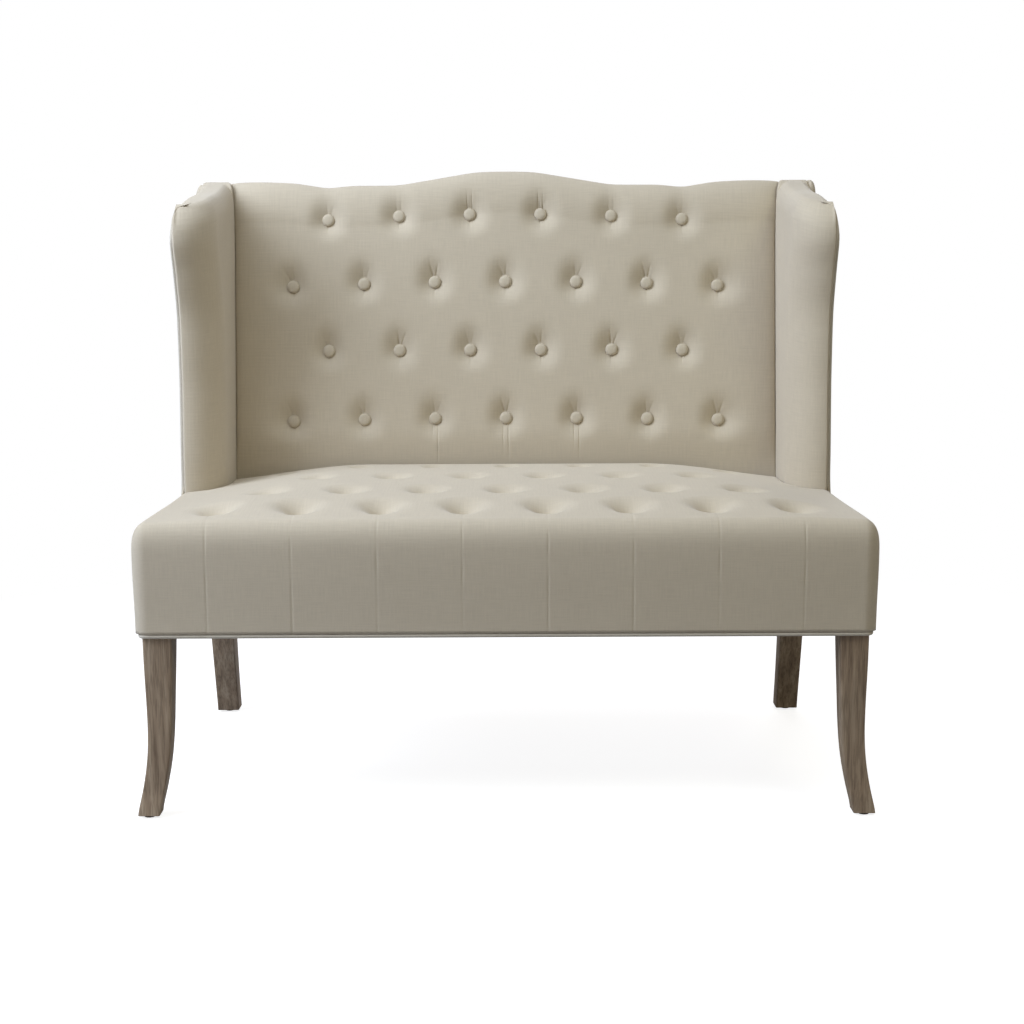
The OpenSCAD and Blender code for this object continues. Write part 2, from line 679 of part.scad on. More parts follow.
module board_shape(x_low, x_high, grow) {
    rise = min(post_top, wing_h - board_set * 2) - fit_gap;
    side_prism(x_low, x_high, concat(
        [[post_y, rail_top - grow], [wing_front(board_zs[0]) + board_set - grow, rail_top - grow]],
        [for (z = board_zs) [wing_front(z) + board_set - grow, z]],
        [[wing_front(board_top) + board_set * 2, board_top + grow],
            [post_front(rise) - board_set, rise + grow], [post_front(rise), rise + grow]]
    ));
}
module board_cut() {
    board_shape(side_inner - fit_gap, frame_x + overrun, fit_gap);
}
module wing_board() { board_shape(side_inner, frame_x, 0); }
module wing_board_right() { color(pine) wing_board(); }
module wing_board_left() { color(pine) on_left() wing_board(); }
module wing_pad() {
    difference() {
        ladder_loft(concat([for (t = wing_level_shares) wing_ring(t, 0)],
            [for (a = wing_roll_shares) wing_ring(1, a)]));
        board_cut();
    }
}
module wing_pad_right() { color(linen) wing_pad(); }
module wing_pad_left() { color(linen) on_left() wing_pad(); }

// back frame between the posts
web_t = 2;
web_w = 50;
lower_rail_z = [back_low - web_w * 0.6, back_low + web_w * 0.5];
crest_rail_z = [post_top - web_w * 1.2, post_top];
slat_x = inner_x / 3;
slat_w = leg_side * 0.9;
module leaning(x_low, x_high, zs, near, far) {
    side_prism(x_low, x_high, [
        [post_front(zs[0]) + near, zs[0]], [post_front(zs[0]) + far, zs[0]],
        [post_front(zs[1]) + far, zs[1]], [post_front(zs[1]) + near, zs[1]]
    ]);
}
module back_lower_rail() { color(pine) leaning(-inner_x, inner_x, lower_rail_z, 0, rail_t); }
module crest_rail() { color(pine) leaning(-inner_x, inner_x, crest_rail_z, 0, rail_t); }
module back_slats() {
    color(pine) for (s = [-1, 1])
        leaning(s * slat_x - slat_w / 2, s * slat_x + slat_w / 2,
            [lower_rail_z[1], crest_rail_z[0]], 0, rail_t);
}
web_reach = side_inner - fit_gap * 2;
module back_webbing_across() {
    color(webbing) for (z = [for (r = back_rows) min(r, post_top - web_w / 2)])
        leaning(-web_reach, web_reach, [z - web_w / 2, z + web_w / 2], -web_t, 0);
}
module back_webbing_upright() {
    color(webbing) for (k = [-2 : 2])
        leaning(k * inner_x * 0.4 - web_w / 2, k * inner_x * 0.4 + web_w / 2,
            [lower_rail_z[0], crest_rail_z[1]], -web_t * 2, -web_t);
}

// foam of the back, with a hole for each tie
foam_z = [back_low, back_cut_top - fit_gap];
module back_tie(spot, d, grow) {
    start = face_at(spot[1]) + pad_t;
    translate([spot[0], start + fit_gap - grow, spot[1]]) rotate([-90, 0, 0])
        cylinder(d = d, h = post_front(spot[1]) - web_t * 2 - start - fit_gap * 2 + grow * 2, $fn = 6);
}
module back_foam() {
    color(foam_yellow) difference() {
        side_prism(-side_inner + foam_gap, side_inner - foam_gap, [
            [face_at(foam_z[0]) + pad_t, foam_z[0]],
            [post_front(foam_z[0]) - web_t * 2, foam_z[0]],
            [post_front(foam_z[1]) - web_t * 2, foam_z[1]],
            [face_at(foam_z[1]) + pad_t, foam_z[1]]
        ]);
        for (p = back_spots) back_tie(p, tie_d + bore_gap, overrun);
    }
}
module back_button_ties() {
    color(twine) for (p = back_spots) back_tie(p, tie_d, 0);
}

// covered buttons
button_h = button_d * 0.38;
module one_button() {
    r = button_d / 2;
    rotate_extrude($fn = 8) polygon([
        [0, 0], [r * 0.9, 0], [r, button_h * 0.3], [r * 0.7, button_h * 0.84], [0, button_h]
    ]);
}
module seat_buttons() {
    color(linen_dark) for (p = seat_spots)
        translate([p.x, p.y, seat_top(p.x, p.y) - seat_tuft]) one_button();
}
module back_buttons() {
    color(linen_dark) for (p = back_spots)
        translate([p[0], face_at(p[1]) + back_tuft, p[1]])
            rotate([90 - face_lean, 0, 0]) one_button();
}

// outside covers on their boards
panel_front = wing_r + welt_d;
panel_zs = [for (v = [0.03, 0.1, 0.35, 0.54, 0.6, 0.655, 0.73, 0.77, 0.805, 0.83])
    seat_edge_h + (wing_h - seat_edge_h) * v];
panel_drop = wing_r * 0.6;
panel_us = [0.25, 0.46, 0.71, 0.9, 1];
function panel_edge(off) = concat(
    [for (z = panel_zs) [wing_front(z) + panel_front - off, z + off * 0.2]],
    [for (u = panel_us) let(y = wing_top_front + (wing_top_rear - wing_top_front) * u)
        [y, wing_top(y) - panel_drop + off]]
);
panel_end_z = crest_h - shelf_drop - crest_r;
module outside_wing() {
    side_prism(wing_out, wing_out + panel_t, concat(
        [[wing_y, skirt_low], [wing_y, panel_zs[0] - wing_r]],
        panel_edge(0),
        [[post_rear(panel_end_z) + panel_t - crest_r * 0.3, panel_end_z + crest_r * 0.6],
            [post_rear(panel_end_z) + panel_t, panel_end_z],
            [rear_y + panel_t, rail_top], [rear_y + panel_t, skirt_low]]
    ));
}
module outside_wing_right() { color(linen) outside_wing(); }
module outside_wing_left() { color(linen) on_left() outside_wing(); }
module outside_back() {
    top = back_cut_top - fit_gap;
    color(linen) side_prism(-wing_out, wing_out, [
        [rear_y, skirt_low], [rear_y + panel_t, skirt_low], [rear_y + panel_t, rail_top],
        [post_rear(top) + panel_t, top], [post_rear(top), top], [rear_y, rail_top]
    ]);
}

// sewn welts: six-sided cords along a line
cord_angles = [0, 60, 120, 180, 240, 300];
module upright_cord(line, x) {
    sides = normals(line);
    r = welt_d / 2 / cos(30);
    loft([for (i = [0 : len(line) - 1]) [for (a = flip(cord_angles))
        [x + r * sin(a), line[i][0] + sides[i][0] * r * cos(a), line[i][1] + sides[i][1] * r * cos(a)]]]);
}
module wing_welt() {
    upright_cord(curve(panel_edge(welt_d * 0.75), 2), wing_out + welt_d / 2);
}
module wing_welt_right() { color(linen_dark) wing_welt(); }
module wing_welt_left() { color(linen_dark) on_left() wing_welt(); }
module seat_welt() {
    ease = leg_ease * 2;
    x = frame_x;
    color(linen_dark) translate([0, 0, leg_h]) linear_extrude(welt_d - fit_gap) difference() {
        polygon([for (p = [[x, rail_y], [x, rear_y], [-x, rear_y], [-x, rail_y]])
            let(s = [sign(p.x), p.y < 0 ? -1 : 1])
            each s.x * s.y < 0 ? [[p.x + s.x * (welt_d - ease), p.y + s.y * welt_d],
                    [p.x + s.x * welt_d, p.y + s.y * (welt_d - ease)]]
                : [[p.x + s.x * welt_d, p.y + s.y * (welt_d - ease)],
                    [p.x + s.x * (welt_d - ease), p.y + s.y * welt_d]]]);
        translate([-x, rail_y]) square([x * 2, rear_y - rail_y]);
    }
}
cloth_t = 1.2;
module dust_cover() {
    color(cambric) translate([0, 0, leg_h - cloth_t]) linear_extrude(cloth_t) difference() {
        translate([-frame_x + ease_in, rail_y + ease_in])
            square([(frame_x - ease_in) * 2, rear_y - rail_y - ease_in * 2]);
        for (x = [-frame_x, inner_x], y = [rail_y, post_y])
            translate([x - fit_gap, y - fit_gap])
                square([leg_side + fit_gap * 2, leg_side + rear_drift + fit_gap * 2]);
    }
}
ease_in = leg_ease;
rear_drift = 1;

front_leg_left();
front_leg_right();
rear_post_left();
rear_post_right();
front_rail();
rear_rail();
side_rail_left();
side_rail_right();
seat_cross_rail();
corner_block_front_left();
corner_block_front_right();
corner_block_rear_left();
corner_block_rear_right();
hanger_bolts();
bolt_washers();
bolt_nuts();
foot_glides();
seat_springs();
spring_clips();
spring_wires();
spring_pad();
seat_foam();
seat_pad();
seat_buttons();
seat_button_ties();
seat_welt();
dust_cover();
crest_rail();
back_lower_rail();
back_slats();
back_webbing_across();
back_webbing_upright();
back_foam();
back_pad();
back_buttons();
back_button_ties();
outside_back();
wing_board_left();
wing_board_right();
wing_pad_left();
wing_pad_right();
outside_wing_left();
outside_wing_right();
wing_welt_left();
wing_welt_right();
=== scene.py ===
import json
import math
import bmesh
import bpy
import numpy as np
from mathutils import Matrix, Vector


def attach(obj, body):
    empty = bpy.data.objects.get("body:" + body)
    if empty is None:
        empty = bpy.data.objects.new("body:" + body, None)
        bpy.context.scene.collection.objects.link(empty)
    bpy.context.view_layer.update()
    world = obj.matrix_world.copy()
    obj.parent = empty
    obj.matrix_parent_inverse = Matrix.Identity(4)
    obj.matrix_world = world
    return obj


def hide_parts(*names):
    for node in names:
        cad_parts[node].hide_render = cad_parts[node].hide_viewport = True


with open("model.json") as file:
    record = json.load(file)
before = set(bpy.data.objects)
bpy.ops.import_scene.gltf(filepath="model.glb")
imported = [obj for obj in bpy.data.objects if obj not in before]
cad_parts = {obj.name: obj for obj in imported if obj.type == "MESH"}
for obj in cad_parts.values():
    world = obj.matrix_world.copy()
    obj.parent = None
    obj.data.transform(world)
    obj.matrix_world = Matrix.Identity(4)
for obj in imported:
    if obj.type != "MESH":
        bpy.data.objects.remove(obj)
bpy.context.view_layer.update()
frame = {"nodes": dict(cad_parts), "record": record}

# sizes shared with the frame, in metres: places front to back
FRONT_Y = -0.352
RAIL_FRONT_Y = -0.343
WING_Y = 0.040
FACE_Y = 0.196
REAR_Y = 0.299
# heights over the floor
LEG_H = 0.305
SKIRT_LOW = 0.312
RAIL_TOP = 0.395
FOAM_TOP = 0.456
SEAT_EDGE_H = 0.490
POST_TOP = 1.001
WING_H = 1.058
CREST_H = 1.076
# widths, the latter two from the middle
SEAT_W = 1.200
WING_IN = 0.491
FRAME_X = 0.591
# forms and thicknesses
SEAT_CROWN = 0.032
PANEL_T = 0.004
BUTTON_R = 0.0118
FACE_LEAN = math.tan(math.radians(8.1))
POST_LEAN = math.tan(math.radians(3.9))
POST_FRONT_LEAN = math.tan(math.radians(5.0))
# how far the back's foam lies behind the face of its cover
FOAM_BEHIND = 0.018
# between a cover and what it lies against
CLEAR = 0.0003

# camera: the photograph's focal length, place, tilt and roll
PHOTO_PX, FOCAL_PX, SENSOR_MM = 1024, 1691, 36.0
CAMERA_TILT, CAMERA_ROLL = math.radians(90.0 - 8.77), math.radians(-0.25)
CAMERA_X, CAMERA_AHEAD, CAMERA_H = 0.011, 2.674, 0.924


def place_camera():
    data = bpy.data.cameras.new("camera")
    data.sensor_width = SENSOR_MM
    data.lens = FOCAL_PX / PHOTO_PX * SENSOR_MM
    cam = bpy.data.objects.new("camera", data)
    bpy.context.scene.collection.objects.link(cam)
    place = Matrix.Translation((CAMERA_X, FRONT_Y - CAMERA_AHEAD, CAMERA_H))
    cam.matrix_world = place @ Matrix.Rotation(CAMERA_TILT, 4, "X") @ Matrix.Rotation(CAMERA_ROLL, 4, "Z")
    bpy.context.scene.camera = cam


place_camera()


# material helpers
def new_material(name):
    mat = bpy.data.materials.new(name)
    mat.use_nodes = True
    tree = mat.node_tree
    return mat, tree, tree.nodes["Principled BSDF"]


def add(tree, kind, **values):
    node = tree.nodes.new(kind)
    for key, value in values.items():
        setattr(node, key, value)
    return node


def object_place(tree):
    return add(tree, "ShaderNodeTexCoord").outputs["Object"]


def stretched(tree, vector, scale):
    node = add(tree, "ShaderNodeMapping")
    node.inputs["Scale"].default_value = scale
    tree.links.new(vector, node.inputs["Vector"])
    return node.outputs["Vector"]


def noise(tree, vector, scale, detail):
    """Soft noise, whose scale is one number or one for each direction."""
    node = add(tree, "ShaderNodeTexNoise")
    if isinstance(scale, tuple):
        vector = stretched(tree, vector, scale)
        scale = 1.0
    node.inputs["Scale"].default_value = scale
    node.inputs["Detail"].default_value = detail
    tree.links.new(vector, node.inputs["Vector"])
    return node.outputs["Fac"]


def ramp(tree, factor, stops):
    node = add(tree, "ShaderNodeValToRGB")
    band = node.color_ramp
    while len(band.elements) < len(stops):
        band.elements.new(0.5)
    for element, (place, colour) in zip(band.elements, stops):
        element.position = place
        element.color = (*colour, 1.0)
    tree.links.new(factor, node.inputs["Fac"])
    return node.outputs["Color"]


def maths(tree, operation, a, b):
    node = add(tree, "ShaderNodeMath", operation=operation)
    for socket, value in zip(node.inputs, (a, b)):
        if isinstance(value, (int, float)):
            socket.default_value = value
        else:
            tree.links.new(value, socket)
    return node.outputs["Value"]


# the colour sockets of the mix node share their names with others, so they go by number
MIX_SHARE, MIX_A, MIX_B, MIX_OUT = 0, 6, 7, 2


def shaded(tree, share, tint, shade):
    """A tint multiplied by a shade, to the given share."""
    node = add(tree, "ShaderNodeMix", data_type="RGBA", blend_type="MULTIPLY")
    node.inputs[MIX_SHARE].default_value = share
    tree.links.new(tint, node.inputs[MIX_A])
    tree.links.new(shade, node.inputs[MIX_B])
    return node.outputs[MIX_OUT]


def mixed(tree, factor, first, second):
    """Two shaders, mixed."""
    node = add(tree, "ShaderNodeMixShader")
    tree.links.new(factor, node.inputs["Fac"])
    tree.links.new(first, node.inputs[1])
    tree.links.new(second, node.inputs[2])
    return node.outputs["Shader"]


def bump(tree, shader, height, strength, distance):
    node = add(tree, "ShaderNodeBump")
    node.inputs["Strength"].default_value = strength
    node.inputs["Distance"].default_value = distance
    tree.links.new(height, node.inputs["Height"])
    tree.links.new(node.outputs["Normal"], shader.inputs["Normal"])


# materials
# the wave node's scale, at which the bands of the weave lie 6.9 mm apart
WEAVE_SCALE = 1 / 0.022
# thick places in the yarn, per metre along and across it
SLUB_ALONG, SLUB_ACROSS = 28.0, 620.0


def woven(name, colour):
    """Linen weave on the piece's own UV map, whose unit is a metre."""
    mat, tree, shader = new_material(name)
    uv = add(tree, "ShaderNodeUVMap", uv_map="cloth").outputs["UV"]
    bands = []
    for direction in ("X", "Y"):
        node = add(tree, "ShaderNodeTexWave", bands_direction=direction)
        node.inputs["Scale"].default_value = WEAVE_SCALE
        node.inputs["Distortion"].default_value = 0.6
        node.inputs["Detail Scale"].default_value = 2.0
        tree.links.new(uv, node.inputs["Vector"])
        bands.append(node.outputs["Fac"])
    weave = maths(tree, "ADD", *bands)
    weft = noise(tree, uv, (SLUB_ALONG, SLUB_ACROSS, 1.0), 4.0)
    warp = noise(tree, uv, (SLUB_ACROSS, SLUB_ALONG, 1.0), 4.0)
    slub = maths(tree, "ADD", weft, warp)
    cloud = noise(tree, uv, 7.0, 3.0)
    tone = maths(tree, "ADD", maths(tree, "MULTIPLY", slub, 0.42), maths(tree, "MULTIPLY", cloud, 0.16))
    light = tuple(min(1.0, c * 1.045) for c in colour)
    dark = tuple(c * 0.945 for c in colour)
    tree.links.new(ramp(tree, tone, [(0.38, dark), (0.62, light)]), shader.inputs["Base Color"])
    shader.inputs["Roughness"].default_value = 0.92
    shader.inputs["Specular IOR Level"].default_value = 0.25
    shader.inputs["Sheen Weight"].default_value = 0.25
    shader.inputs["Sheen Roughness"].default_value = 0.55
    bump(tree, shader, maths(tree, "ADD", maths(tree, "MULTIPLY", weave, 0.35), slub), 0.28, 0.0005)
    return mat


def timber(name, dark, mid, light, roughness=0.62):
    """Grain that runs up the piece, with pores, a pale wash and small knots."""
    mat, tree, shader = new_material(name)
    coords = object_place(tree)
    grain = noise(tree, coords, (85.0, 85.0, 5.0), 8.0)
    pores = noise(tree, coords, (420.0, 420.0, 22.0), 4.0)
    cloud = noise(tree, coords, 9.0, 2.0)
    cell = add(tree, "ShaderNodeTexVoronoi")
    cell.inputs["Scale"].default_value = 1.0
    tree.links.new(stretched(tree, coords, (16.0, 16.0, 9.0)), cell.inputs["Vector"])
    worn = ramp(tree, cloud, [(0.35, (0.80, 0.80, 0.80)), (0.65, (1.0, 1.0, 1.0))])
    streak = ramp(tree, pores, [(0.42, (0.62, 0.60, 0.58)), (0.52, (1.0, 1.0, 1.0))])
    knot = ramp(tree, cell.outputs["Distance"], [(0.05, (0.35, 0.30, 0.26)), (0.12, (1.0, 1.0, 1.0))])
    tint = ramp(tree, grain, [(0.30, dark), (0.50, mid), (0.72, light)])
    for share, shade in ((1.0, worn), (0.7, streak), (0.8, knot)):
        tint = shaded(tree, share, tint, shade)
    tree.links.new(tint, shader.inputs["Base Color"])
    shader.inputs["Roughness"].default_value = roughness
    bump(tree, shader, maths(tree, "ADD", grain, pores), 0.25, 0.0008)
    return mat


def plain(name, colour, roughness, metallic=0.0, scale=240.0, depth=0.0003):
    """A finish with a fine speckle, for what is seldom seen."""
    mat, tree, shader = new_material(name)
    speck = noise(tree, object_place(tree), scale, 3.0)
    light = tuple(min(1, c * 1.1) for c in colour)
    dark = tuple(c * 0.86 for c in colour)
    tree.links.new(ramp(tree, speck, [(0.3, dark), (0.7, light)]), shader.inputs["Base Color"])
    shader.inputs["Roughness"].default_value = roughness
    shader.inputs["Metallic"].default_value = metallic
    bump(tree, shader, speck, 0.3, depth)
    return mat


LINEN = woven("natural_linen", (0.562, 0.497, 0.388))
BUTTON_LINEN = woven("button_linen", (0.552, 0.489, 0.380))
WELT_LINEN = woven("welt_linen", (0.560, 0.520, 0.440))
OAK = timber("weathered_oak", (0.200, 0.138, 0.088), (0.340, 0.252, 0.170), (0.470, 0.370, 0.265))
PINE = timber("sawn_pine", (0.52, 0.37, 0.21), (0.66, 0.50, 0.31), (0.74, 0.60, 0.41), 0.75)
STEEL = plain("zinc_steel", (0.60, 0.60, 0.62), 0.38, 1.0)
NYLON = plain("black_nylon", (0.035, 0.033, 0.032), 0.5)
FOAM = plain("open_foam", (0.88, 0.83, 0.62), 0.95, scale=900.0, depth=0.0006)
FELT = plain("grey_felt", (0.33, 0.32, 0.30), 0.98, scale=500.0, depth=0.0008)
WEBBING = plain("dark_webbing", (0.10, 0.10, 0.11), 0.9, scale=700.0)
TWINE = plain("waxed_twine", (0.78, 0.72, 0.56), 0.7, scale=900.0)
CAMBRIC = plain("black_cambric", (0.020, 0.020, 0.022), 0.95, scale=1200.0, depth=0.0002)

# the finish of each material slot, given to the solids that are shown as they are
FINISHES = {
    "linen": LINEN, "button_linen": BUTTON_LINEN, "welt_linen": WELT_LINEN, "oak": OAK, "pine": PINE,
    "steel": STEEL, "glide": NYLON, "foam": FOAM, "felt": FELT, "webbing": WEBBING, "twine": TWINE,
    "cambric": CAMBRIC,
}
SLOTS = {row["node"]: row["material_slot"] for row in frame["record"]["subparts"]}

for node_name, solid in frame["nodes"].items():
    if solid.material_slots:
        solid.material_slots[0].link = "OBJECT"
        solid.material_slots[0].material = FINISHES[SLOTS[node_name]]


# making helpers
def smooth(t):
    t = np.clip(t, 0.0, 1.0)
    return t * t * (3 - 2 * t)


def rounded(x, shares, column=1, ease=0.03, samples=7):
    """A table's column at x, held beyond its ends, with its kinks eased."""
    table = np.array(shares, float)
    spread = np.linspace(-ease, ease, samples)
    return sum(np.interp(x + s, table[:, 0], table[:, column]) for s in spread) / samples


def steps(*stops):
    """Positions from stop to stop, each stretch in its own number of steps."""
    out = [stops[0]]
    for count, stop in zip(stops[1::2], stops[2::2]):
        out.extend(np.linspace(out[-1], stop, int(count) + 1)[1:])
    return np.array(out)


def mirrored(half):
    """Positions from the middle outwards, on both sides."""
    return np.concatenate([-half[:0:-1], half])


# the outermost column that has close rows of points, in half pitches from the middle
OUTER_COLUMN = 6


def close_rows(pitch, fine, at_row, between):
    """Stops from the middle outwards, with close steps at each half pitch and wider ones between."""
    out = [0, at_row // 2, fine]
    for k in range(1, OUTER_COLUMN + 1):
        out += [between, k * pitch / 2 - fine, at_row, k * pitch / 2 + fine]
    return out


def quarter(t):
    """The angle of a quarter turn that is made by a share t."""
    return np.clip(t, 0, 1) * math.pi / 2


def finish_mesh(name, bm, mat):
    mesh = bpy.data.meshes.new(name)
    bm.to_mesh(mesh)
    bm.free()
    mesh.polygons.foreach_set("use_smooth", [True] * len(mesh.polygons))
    mesh.materials.append(mat)
    obj = bpy.data.objects.new(name, mesh)
    bpy.context.scene.collection.objects.link(obj)
    return obj


def cloth_grid(us, vs, place, chart):
    """A grid laid over a form: place gives the points, chart the cloth's own map in metres."""
    bm = bmesh.new()
    layer = bm.loops.layers.uv.new("cloth")
    bmesh.ops.create_grid(bm, x_segments=len(us) - 1, y_segments=len(vs) - 1, size=0.5)
    own = np.array([vert.co[:2] for vert in bm.verts])
    i = np.rint((own[:, 0] + 0.5) * (len(us) - 1)).astype(int)
    j = np.rint((own[:, 1] + 0.5) * (len(vs) - 1)).astype(int)
    points = place(us[i], vs[j])
    flat = chart(us[i], vs[j])
    for vert, point in zip(bm.verts, points):
        vert.co = point
    bm.verts.index_update()
    for face in bm.faces:
        for loop in face.loops:
            loop[layer].uv = flat[loop.vert.index]
    return bm


def close(bm, gap=0.00005):
    """Welds the seams, fills what is open and turns the faces outwards."""
    bmesh.ops.remove_doubles(bm, verts=bm.verts, dist=gap)
    bmesh.ops.holes_fill(bm, edges=[edge for edge in bm.edges if edge.is_boundary], sides=0)
    bmesh.ops.recalc_face_normals(bm, faces=bm.faces)


def settle(obj, replaced=()):
    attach(obj, "root")
    if replaced:
        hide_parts(*replaced)


# places of the buttons: pitch, rows, and in each row the half pitches from the middle
SEAT_PITCH, SEAT_ROWS = 0.138, (-0.235, -0.112, 0.028, 0.158)
SEAT_COLUMNS = ((1, 3, 5, 7), (0, 2, 4, 6), (1, 3, 5), (0, 2, 4, 6))
BACK_PITCH, BACK_ROWS = 0.136, (0.607, 0.735, 0.863, 0.991)
BACK_COLUMNS = ((0, 2, 4, 6), (1, 3, 5), (0, 2, 4, 6), (1, 3, 5))
# each back row's lift in the middle and its fall at SAG_X
BACK_SAG, SAG_X = ((-0.001, 0.005), (0.001, 0.002), (0.003, 0.009), (0.003, 0.015)), 0.41


def spots(pitch, rows, columns):
    """Each button's place across and along, and its row."""
    return [(side * k * pitch / 2, row, n) for n, (row, ks) in enumerate(zip(rows, columns))
            for k in ks for side in (-1, 1) if k or side > 0]


SEAT_SPOTS = spots(SEAT_PITCH, SEAT_ROWS, SEAT_COLUMNS)
BACK_SPOTS = [(x, z + BACK_SAG[n][0] - BACK_SAG[n][1] * (x / SAG_X) ** 2, n)
              for x, z, n in spots(BACK_PITCH, BACK_ROWS, BACK_COLUMNS)]


# faces that more than one piece meets
def face_at(z):
    return FACE_Y + (z - SEAT_EDGE_H) * FACE_LEAN


def post_rear(z):
    return REAR_Y + np.maximum(0, z - RAIL_TOP) * POST_LEAN


# a wing's roll: the line where it turns, the inner face, its sweep from the front, and how it widens
WING_NOSE, WING_MOUTH, WING_SWEEP = 0.585, 0.5205, 0.078
WING_SPLAY, SPLAY_Y, SPLAY_RUN = 0.35, 0.275, 0.03


def inner_face(y):
    """The inner face of a wing behind its roll, where the back and the seat meet it."""
    return WING_MOUTH + WING_SPLAY * np.clip(y - SPLAY_Y, 0, SPLAY_RUN)


def mouth(y):
    """The same at the seat's level, with the wing's front roll."""
    d = 1 - np.clip((y - WING_Y) / WING_SWEEP, 0, 1)
    return np.where(d > 0, WING_NOSE - (WING_NOSE - WING_MOUTH) * np.sqrt(1 - d * d), inner_face(y))


# the tufted back: its crest falls by these depths, each spread by its shares of the half width
HUMP_FALL, DIP_FALL, SHOULDER_LIFT = 0.026, 0.005, 0.008
HUMP_SHARES = [[0, 0], [0.06, 0.01], [0.12, 0.06], [0.26, 0.5], [0.40, 0.94], [0.46, 1]]
DIP_SHARES = [[0.60, 0], [0.66, 0.6], [0.70, 1], [0.74, 0.6], [0.82, 0]]
SHOULDER_SHARES = [[0.70, 0], [0.82, 0.6], [0.92, 1]]
CREST_R, BACK_LOW, BACK_CUT = 0.030, FOAM_TOP, 1.009
# the soft roll over the crest, the turn back at each end, and the one at the foot
ROLL_H, ROLL_D = 0.078, 0.034
END_RUN, END_ROLL, END_DROP = 0.060, 0.0160, 0.004
FOOT_SHARE, FOOT_H, FOOT_RUN = 0.8, SEAT_EDGE_H - 0.004, 0.105
# from here outwards the cover follows the wing's inner face
SPREAD_X = 0.40
# pits: depth, reach and how far their pleats reach; pleats above a button: tilt and depth of each
BACK_TUFT, BACK_REACH, BACK_NEAR_X, BACK_NEAR_Z = 0.014, 0.060, 0.08, 0.16
FAN = ((-0.24, 0.0026), (0.20, 0.0017))
FAN_START, FAN_END, FAN_W, FAN_OPEN = 0.008, 0.044, 0.0012, 0.03
UNDER_END, UNDER_W, UNDER_DEPTH = 0.030, 0.0014, 0.0014
# straight pleats to the seat and to the crest, in the middle of the back
STRAIGHT_W, MIDDLE_X, MIDDLE_RUN = 0.0011, 0.13, 0.12
LOW_START, LOW_SIDE, LOW_ENDS, LOW_DEPTHS = 0.010, 0.0050, (0.05, 0.12), (0.0013, 0.0018)
TOP_SIDE, TOP_END, TOP_DEPTH, TOP_FAN_SHARE = 0.0046, 0.056, 0.0019, 0.6


def crest_at(x):
    u = np.abs(x) / WING_IN
    return (CREST_H - HUMP_FALL * rounded(u, HUMP_SHARES) - DIP_FALL * rounded(u, DIP_SHARES)
            + SHOULDER_LIFT * rounded(u, SHOULDER_SHARES))


def pit(d, flat, reach, depth):
    """A button's pit: a flat under the button, a steep rim and a long soft shoulder."""
    t = np.clip((d - flat) / (reach - flat), 0, 1)
    return depth * (0.62 * (1 - t) ** 3.2 + 0.38 * (1 - smooth(t)) ** 2)


def crease(across, along, width, start, end, depth):
    """A pleat: a groove that opens from start and fades at end."""
    share = np.clip((along - start) / (end - start), 0, 1)
    fade = smooth(share * 8) * (1 - smooth(share)) ** 0.8
    inside = (along - start) * np.sign(end - start) >= 0
    return np.where(inside, depth * fade * np.exp(-(across / width) ** 2), 0)


def back_pleats(dx, dz, bx, row):
    """The pleats above and below one button, each button's a little different."""
    lean = 0.18 * math.sin(bx * 31 + row * 2.1)
    vary = 0.5 + 0.5 * math.sin(bx * 17 + row * 4.3 + 1)
    centred = 1 - smooth((abs(bx) - MIDDLE_X) / MIDDLE_RUN)
    opening = FAN_OPEN * np.abs(dz)
    above = sum(crease(dx - (tilt + lean) * dz, dz, FAN_W + opening, FAN_START, FAN_END,
                       depth * (0.35 + 0.65 * vary)) for tilt, depth in FAN)
    below = crease(dx - 0.3 * lean * dz, dz, UNDER_W + opening, -FAN_START, -UNDER_END, UNDER_DEPTH)
    if row == 0:
        low = ((-LOW_SIDE, LOW_ENDS[0] * (1 + vary), LOW_DEPTHS[0]), (LOW_SIDE, LOW_ENDS[1], LOW_DEPTHS[1]))
        below = sum(crease(dx - side, dz, STRAIGHT_W, -LOW_START, -end, depth * (0.25 + 0.75 * centred))
                    for side, end, depth in low)
    if row == len(BACK_ROWS) - 1:
        above = above * TOP_FAN_SHARE + sum(
            crease(dx - side, dz, STRAIGHT_W, FAN_START, TOP_END, TOP_DEPTH * centred)
            for side in (-TOP_SIDE, TOP_SIDE))
    return above + below


def back_relief(x, z):
    """How far the cover is drawn in by its buttons and pleats."""
    drawn = np.zeros_like(x)
    for bx, bz, row in BACK_SPOTS:
        near = (np.abs(x - bx) < BACK_NEAR_X) & (np.abs(z - bz) < BACK_NEAR_Z)
        dx, dz = x[near] - bx, z[near] - bz
        # the pit is longer above its button
        d = np.hypot(dx * 1.08, dz * np.where(dz > 0, 0.78, 1.05))
        pull = pit(d, BUTTON_R * 0.95, BACK_REACH, BACK_TUFT)
        drawn[near] = np.maximum(drawn[near], pull) + back_pleats(dx, dz, bx, row)
    return drawn


